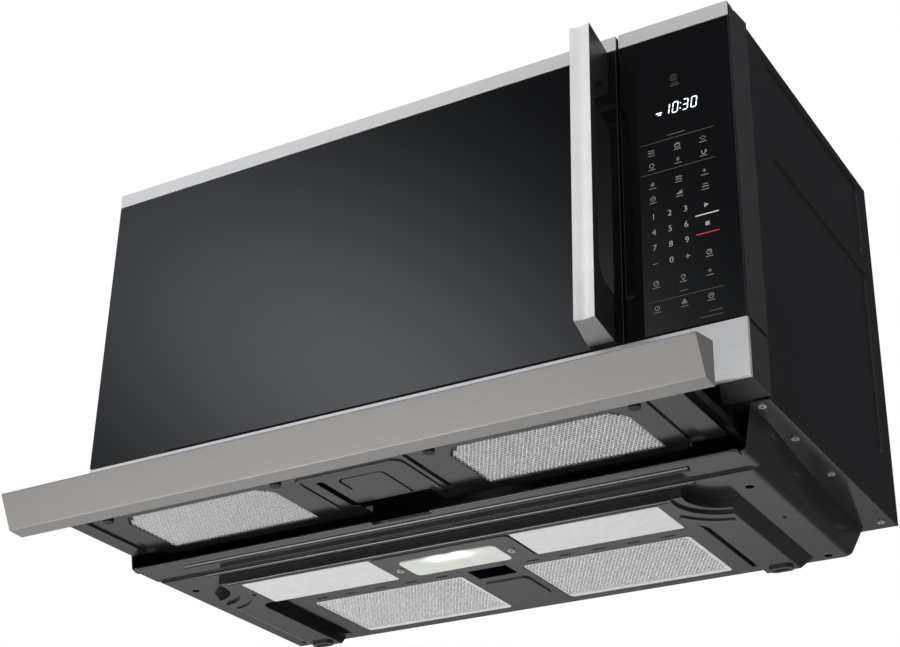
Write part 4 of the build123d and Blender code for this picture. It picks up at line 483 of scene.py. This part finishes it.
# ---- Pale blank plates on the base pan -------------------------------------------------------
PLATE_ACROSS = (82, 241)  # from the oven's middle
PLATE_BACK = (103, 165)  # from the front
PLATE_CORNER = 2
PLATE_THICKNESS = 0.35
for side, name in ((-1, "blank_plate_left"), (1, "blank_plate_right")):
    left, right = sorted(side * reach for reach in PLATE_ACROSS)
    outline = rounded_outline(left, right, FRONT + PLATE_BACK[0], FRONT + PLATE_BACK[1], PLATE_CORNER)
    verts, faces = slab(outline, -PLATE_THICKNESS, 0.0, lambda u, v, w: (u, v, PLATEAU + w))
    plate = piece(name, mesh_from(name, verts, faces), PLATE, "cabinet")
    bevel = plate.modifiers.new("round", "BEVEL")
    bevel.width = 0.1 * MM
    bevel.segments = 2
    bevel.limit_method = "ANGLE"


# ---- Panel marks: x is the part's, z is counted up from the lower edge of the front ----------
GLASS_GAP = 0.06  # between the glass and a mark's rear face
MARK_HEIGHT = 0.08
KEY_LINE = 0.6
FINE_LINE = 0.55


def on_panel(x, z):
    """Turns (u, v) on the glass round a place, and w out of it, into frame millimetres."""
    return lambda u, v, w: (x + u, FRONT - GLASS_GAP - w, FASCIA + z + v)


def mark(name, parts, mat):
    """Printed marks joined into one piece on the control glass."""
    verts, faces = join(parts)
    piece(name, mesh_from(name, verts, faces), mat, "cabinet")


def printed(outline, x, z):
    """A flat printed shape."""
    return slab(outline, 0.0, MARK_HEIGHT, on_panel(x, z))


def bar(x, z, width, height):
    """A printed bar centred on x, z."""
    corner = min(width, height) * 0.3
    return printed(rounded_outline(-width / 2, width / 2, -height / 2, height / 2, corner, 2), x, z)


def ring(x, z, radius, line, start=0, stop=360, steps=28):
    """A printed ring or arc."""
    place = on_panel(x, z)
    verts, faces = [], []
    for step in range(steps + 1):
        angle = math.radians(start + (stop - start) * step / steps)
        for r in (radius - line / 2, radius + line / 2):
            verts.append(place(r * math.cos(angle), r * math.sin(angle), MARK_HEIGHT))
    for step in range(steps):
        faces.append([2 * step, 2 * step + 1, 2 * step + 3, 2 * step + 2])
    return verts, faces


def stroke(x, z, points, line):
    """A printed line through points, as one slab per run."""
    parts = []
    for (ax, az), (bx, bz) in zip(points, points[1:]):
        length = math.hypot(bx - ax, bz - az)
        nx, nz = -(bz - az) / length * line / 2, (bx - ax) / length * line / 2
        outline = [(ax - nx, az - nz), (bx - nx, bz - nz), (bx + nx, bz + nz), (ax + nx, az + nz)]
        parts.append(printed(outline, x, z))
    return join(parts)


def glyph(text, x, z, size):
    """A digit as a flat mesh on the panel."""
    curve = bpy.data.curves.new("glyph", "FONT")
    curve.body = text
    curve.size = size
    curve.align_x = "CENTER"
    curve.align_y = "CENTER"
    curve.resolution_u = 3
    obj = bpy.data.objects.new("glyph", curve)
    bpy.context.scene.collection.objects.link(obj)
    mesh = bpy.data.meshes.new_from_object(obj.evaluated_get(bpy.context.evaluated_depsgraph_get()))
    bpy.data.objects.remove(obj)
    place = on_panel(x, z)
    verts = [place(v.co.x, v.co.y, MARK_HEIGHT) for v in mesh.vertices]
    faces = [list(p.vertices) for p in mesh.polygons]
    bpy.data.meshes.remove(mesh)
    return verts, faces


# The keypad: 1 to 9, then a minus sign, 0 and a plus sign.
COLUMNS = (293.6, 310.0, 326.2)
DIGIT_ROWS = (183.0, 166.2, 149.5, 132.7)
DIGIT_SIZE = 9.0
SIGN_SIZE = 5.2
digits = []
for row, z in enumerate(DIGIT_ROWS[:3]):
    for column, x in enumerate(COLUMNS):
        digits.append(glyph(str(3 * row + column + 1), x, z, DIGIT_SIZE))
last_row = DIGIT_ROWS[3]
digits += [bar(COLUMNS[0], last_row, SIGN_SIZE, KEY_LINE), glyph("0", COLUMNS[1], last_row, DIGIT_SIZE),
           bar(COLUMNS[2], last_row, SIGN_SIZE, KEY_LINE), bar(COLUMNS[2], last_row, KEY_LINE, SIGN_SIZE)]
mark("keypad_digits", digits, PRINT)

CLOCK_Z = 298.6
CLOCK_DIGITS = (("1", 311.6), ("0", 320.6), ("3", 331.0), ("0", 340.0))
CLOCK_SIZE = (5.2, 11.4)  # a digit's width and height
CLOCK_LINE = 1.0
CLOCK_SLANT = 0.14
SEGMENT_GAP = 0.55  # left bare at both ends of a segment


def seven_segment(digit, x, z):
    """One clock digit made of slanted bars."""
    lit = {"0": "abcdef", "1": "bc", "3": "abgcd"}[digit]
    half_w, half_h = CLOCK_SIZE[0] / 2, CLOCK_SIZE[1] / 2
    ends = {"a": ((-half_w, half_h), (half_w, half_h)), "g": ((-half_w, 0), (half_w, 0)),
            "d": ((-half_w, -half_h), (half_w, -half_h)), "b": ((half_w, half_h), (half_w, 0)),
            "c": ((half_w, 0), (half_w, -half_h)), "f": ((-half_w, half_h), (-half_w, 0)),
            "e": ((-half_w, 0), (-half_w, -half_h))}
    parts = []
    for name in lit:
        (ax, az), (bx, bz) = ends[name]
        gap = SEGMENT_GAP / max(abs(bx - ax), abs(bz - az))
        ax, bx = ax + (bx - ax) * gap, bx - (bx - ax) * gap
        az, bz = az + (bz - az) * gap, bz - (bz - az) * gap
        parts.append(stroke(x, z, [(ax + CLOCK_SLANT * az, az), (bx + CLOCK_SLANT * bz, bz)], CLOCK_LINE))
    return join(parts)


clock = [seven_segment(digit, x, CLOCK_Z) for digit, x in CLOCK_DIGITS]
clock += [bar(326.2, 301.6, 1.2, 1.2), bar(325.6, 295.8, 1.2, 1.2)]  # the colon
clock += [bar(303.4, 296.6, 6.4, 1.2), bar(303.9, 294.4, 3.6, 1.0)]  # a sign left of the digits
mark("clock_digits", clock, DIGIT_GLOW)

mark("panel_lines", [bar(320.5, 264.7, 76.5, 0.45), bar(320.0, 230.6, 77.0, 0.45),
                     bar(320.8, 93.2, 76.5, 0.45)], PRINT_DIM)
mark("start_line", [bar(347.2, 171.9, 23.4, 1.0)], PRINT_WHITE)
mark("stop_line", [bar(347.2, 151.8, 22.8, 1.0)], PRINT_RED)


def around(radius, *degrees):
    """Places on a circle."""
    return [(radius * math.cos(math.radians(a)), radius * math.sin(math.radians(a))) for a in degrees]


def key_mark(kind, x, z):
    """A plain symbol for one key, about 7 mm wide."""
    if kind == "waves":
        wave = [(-3.2 + 0.8 * i, 0.9 * math.sin(i * math.pi / 2)) for i in range(9)]
        return [stroke(x, z + shift, wave, FINE_LINE) for shift in (-1.5, 1.2)]
    if kind == "pot":
        return [stroke(x, z, [(-2.6, 1.2), (-2.2, -2.2), (2.2, -2.2), (2.6, 1.2), (-2.6, 1.2)], KEY_LINE),
                bar(x, z + 2.2, 3.4, KEY_LINE)]
    if kind == "dots":
        return [bar(x + dx, z + dz, 1.0, 1.0)
                for dx, dz in ((-2.4, 0.4), (0, 1.4), (2.4, 0.4), (-1.2, -1.5), (1.2, -1.5))]
    if kind == "oval":
        return [ring(x, z, 2.2, KEY_LINE)]
    if kind == "leaf":
        return [ring(x - 1.4, z, 2.4, FINE_LINE, -60, 60, 10),
                ring(x + 1.4, z, 2.4, FINE_LINE, 120, 240, 10)]
    if kind == "cup":
        return [stroke(x, z, [(-2.0, 2.0), (-1.5, -2.2), (1.5, -2.2), (2.0, 2.0)], KEY_LINE),
                ring(x + 2.2, z + 0.2, 1.1, 0.4, -90, 90, 8)]
    if kind == "steps":
        return [bar(x - 2.4 + 1.6 * i, z - 1.6 + 0.5 * i, 0.9, 1.2 + i) for i in range(4)]
    if kind == "flake":
        return [stroke(x, z, [(-u, -v), (u, v)], FINE_LINE) for u, v in around(2.4, 30, 90, 150)]
    if kind == "dial":
        return [ring(x, z, 2.4, KEY_LINE), stroke(x, z, [(0, 0), (0, 1.5)], FINE_LINE),
                stroke(x, z, [(0, 0), (1.1, 0)], FINE_LINE)]
    if kind == "bulb":
        return [ring(x, z + 0.6, 1.9, KEY_LINE, -50, 230, 16), bar(x, z - 1.8, 2.0, KEY_LINE),
                bar(x, z - 2.6, 1.4, KEY_LINE)]
    if kind == "fan":
        return [ring(x + u, z + v, 1.1, FINE_LINE, steps=10) for u, v in around(1.5, 90, 210, 330)]
    if kind == "power":
        return [ring(x, z, 2.2, KEY_LINE, 125, 415, 18), bar(x, z + 1.8, KEY_LINE, 2.2)]
    if kind == "play":
        return [printed([(-2.0, -2.4), (2.6, 0.0), (-2.0, 2.4)], x, z)]
    if kind == "square":
        return [printed([(-2.1, -2.1), (2.1, -2.1), (2.1, 2.1), (-2.1, 2.1)], x, z)]
    if kind == "plus":
        return [bar(x, z, 4.0, 0.5), bar(x, z, 0.5, 4.0)]
    return [bar(x, z + 1.3, 5.4, KEY_LINE), bar(x, z - 1.3, 7.2, KEY_LINE)]


KEY_COLUMNS = (293.8, 320.8, 347.0)
KEYS = {
    "keys_row_1": (255.3, ("waves", "pot", "dots")), "keys_row_2": (239.6, ("oval", "leaf", "cup")),
    "keys_row_3": (218.7, ("flake", "waves", "plus")), "keys_row_4": (202.8, ("dial", "steps", "lines")),
    "keys_row_5": (112.0, ("dial", "bulb", "plus")), "keys_row_6": (86.2, ("power", "fan", "dial")),
}
for name, (z, kinds) in KEYS.items():
    parts = []
    for kind, x in zip(kinds, KEY_COLUMNS):
        parts += key_mark(kind, x, z) + [bar(x, z - 4.4, 7.4, 0.5)]
    mark(name, parts, PRINT_SOFT)
mark("start_mark", key_mark("play", 347.0, 181.6), PRINT)
mark("stop_mark", key_mark("square", 347.2, 161.6), PRINT)
mark("timer_mark", key_mark("dial", 347.4, 131.4) + [bar(347.4, 126.8, 7.8, 0.5)], PRINT_SOFT)
mark("small_marks", [bar(351.0, 70.8, 13.0, 0.7), bar(346.5, 66.0, 22.0, 0.6), bar(320.0, 269.0, 18.0, 0.9),
                     bar(321.0, 98.2, 8.0, 1.0)], PRINT_DIM)
mark("panel_icon", [ring(320.3, 333.2, 3.6, 0.45, 20, 340, 24), ring(320.3, 333.2, 1.8, 0.45, 200, 520, 20),
                    bar(321.0, 326.4, 7.0, 0.6), bar(321.0, 324.0, 10.0, 0.6)], PRINT_DIM)


# ---- Floor -----------------------------------------------------------------------------------
FLOOR_Z = -1.35
FLOOR_REACH = 6.0
FLOOR_GREY = 0.84
# Light on the floor that only gloss sees, metres: centre, widths in x and y, and strength.
GLOSS_POOLS = [
    ((-1.2, 1.45, 0), (1.7, 1.35), 0.58),
    ((-0.5, -0.9, 0), (1.1, 0.50), 1.0),
    ((-0.90, -1.3, 0), (0.7, 0.24), 13.0),
    ((-0.8, -3.8, 0), (3.5, 1.5), 0.70),
]
GLOSS_FLOOR = 0.08  # what gloss sees beside the pools
# To the camera the floor turns white further out: distances in metres, and its glow there.
FADE_REACH = (0.8, 3.2)
FADE_GLOW = (0.22, 1.0)


def floor_material():
    """Pale and matt to the camera, lit by pools to gloss, and clear to a camera under the floor."""
    mat = bpy.data.materials.new("floor")
    graph = Graph(mat)
    surface = graph.nodes["Principled BSDF"]
    surface.inputs["Base Color"].default_value = (FLOOR_GREY, FLOOR_GREY, FLOOR_GREY, 1)
    surface.inputs["Roughness"].default_value = 0.9
    surface.inputs["Emission Color"].default_value = (1, 1, 1, 1)
    place = graph.add("TexCoord").outputs["Object"]
    path = graph.add("LightPath")
    to_camera, to_gloss = path.outputs["Is Camera Ray"], path.outputs["Is Glossy Ray"]
    level = GLOSS_FLOOR
    for centre, widths, strength in GLOSS_POOLS:
        level = graph.math("ADD", graph.soft_spot(place, centre, widths, strength), level)
    pools = graph.add("Emission", Strength=level)
    away = graph.vector("LENGTH", place).outputs["Value"]
    glow_out = graph.math("MULTIPLY", to_camera, graph.remap(away, FADE_REACH, FADE_GLOW))
    graph.feed(surface.inputs["Emission Strength"], glow_out)
    seen = graph.mix(to_gloss, surface.outputs["BSDF"], pools.outputs["Emission"])
    clear = graph.add("BsdfTransparent").outputs["BSDF"]
    under = graph.math("MULTIPLY", graph.add("NewGeometry").outputs["Backfacing"], to_camera)
    graph.feed(graph.nodes["Material Output"].inputs["Surface"], graph.mix(under, seen, clear))
    return mat


corners = [(x * FLOOR_REACH, y * FLOOR_REACH, 0) for x, y in ((-1, -1), (1, -1), (1, 1), (-1, 1))]
floor_mesh = bpy.data.meshes.new("floor")
floor_mesh.from_pydata(corners, [], [(0, 1, 2, 3)])
floor_mesh.materials.append(floor_material())
floor = bpy.data.objects.new("floor", floor_mesh)
floor.location.z = FLOOR_Z
bpy.context.scene.collection.objects.link(floor)


# ---- World: an even light, white to the camera and through glass, and a studio to gloss ------
WORLD_LIGHT = 0.45
GLOSS_LEVEL = 0.55
GLOSS_TINT = (0.94, 0.99, 1.07, 1)
# Soft boxes as gloss sees them: centre, the two axes across it, their widths and the strength.
SOFT_SPOTS = [
    ((-0.499, -0.757, 0.421), ((0.655, -0.648, -0.388), (0.567, 0.082, 0.820)), (0.169, 0.097), 1.9),
    ((0.0, -0.10, 0.99), ((1, 0, 0), (0, 0.99, 0.10)), (0.7, 0.32), 0.4),
]
# Dark panels that the black faces mirror: centre, and the cosines where they are fully dark and gone.
DARK_PANELS = [((-0.46, -0.76, 0.46), 0.90, 0.70), ((0.30, 0.84, 0.45), 0.88, 0.66)]
DARK_LEVEL = 0.115  # share of the studio's light that is left in a dark panel

world = bpy.data.worlds.new("studio")
bpy.context.scene.world = world
graph = Graph(world)
even = graph.nodes["Background"]
even.inputs["Color"].default_value = (1, 1, 1, 1)
even.inputs["Strength"].default_value = WORLD_LIGHT
direction = graph.add("TexCoord").outputs["Generated"]
level = GLOSS_LEVEL
for centre, dark, gone in DARK_PANELS:
    shade = graph.remap(graph.dot(direction, centre), (gone, dark), (1.0, DARK_LEVEL), "SMOOTHSTEP")
    level = graph.math("MULTIPLY", shade, level)
for centre, axes, widths, strength in SOFT_SPOTS:
    spot = graph.soft_spot(direction, centre, widths, strength, axes)
    ahead = graph.math("GREATER_THAN", graph.dot(direction, centre), 0.0)
    level = graph.math("ADD", level, graph.math("MULTIPLY", spot, ahead))
studio = graph.add("Background", Color=GLOSS_TINT, Strength=level)
white = graph.add("Background", Color=(1, 1, 1, 1), Strength=1.0)
path = graph.add("LightPath")
seen = graph.mix(path.outputs["Is Glossy Ray"], even.outputs["Background"], studio.outputs["Background"])
straight = graph.math("MAXIMUM", path.outputs["Is Camera Ray"], path.outputs["Is Transmission Ray"])
graph.feed(graph.nodes["World Output"].inputs["Surface"],
           graph.mix(straight, seen, white.outputs["Background"]))


# ---- Lamps -----------------------------------------------------------------------------------
def softbox(name, place, target, size, power):
    """A rectangular area light aimed at a point; gloss doesn't see it."""
    light = bpy.data.lights.new(name, "AREA")
    light.shape = "RECTANGLE"
    light.size, light.size_y = size
    light.energy = power
    obj = bpy.data.objects.new(name, light)
    bpy.context.scene.collection.objects.link(obj)
    obj.location = place
    obj.rotation_euler = (Vector(target) - Vector(place)).to_track_quat("-Z", "Y").to_euler()
    obj.visible_glossy = False


# Metres and watts: place, the point that it faces, width and height, power.
softbox("front_box", (-2.0, -3.0, 0.9), (0, -0.4, 0), (2.2, 1.6), 60)
softbox("top_box", (0.3, -1.2, 2.4), (0, -0.3, 0), (2.5, 1.6), 50)
softbox("under_box", (-0.3, -0.95, -1.28), (0, -0.2, -0.25), (1.8, 0.9), 15)
softbox("rear_under_box", (-0.2, 0.5, -1.28), (0, -0.1, -0.25), (1.6, 0.8), 10)
softbox("right_box", (2.6, -0.6, 0.6), (0.3, -0.2, 0), (1.4, 1.4), 11)

# ---- Camera, solved from the cabinet's edges in the photograph -------------------------------
CAMERA_PLACE = (0.8763, -1.7355, -0.8774)
CAMERA_FORWARD = (-0.4607, 0.7603, 0.4580)
CAMERA_UP = (0.2189, -0.4027, 0.8887)
CAMERA_LENS = 71.088

camera_data = bpy.data.cameras.new("camera")
camera_data.sensor_fit = "HORIZONTAL"
camera_data.sensor_width = 36.0
camera_data.lens = CAMERA_LENS
camera_data.clip_start = 0.01
camera = bpy.data.objects.new("camera", camera_data)
bpy.context.scene.collection.objects.link(camera)
forward = Vector(CAMERA_FORWARD).normalized()
right = forward.cross(Vector(CAMERA_UP)).normalized()
turn = Matrix((right, right.cross(forward), -forward)).transposed().to_4x4()
camera.matrix_world = Matrix.Translation(CAMERA_PLACE) @ turn
bpy.context.scene.camera = camera
bpy.context.scene.view_settings.view_transform = "Standard"
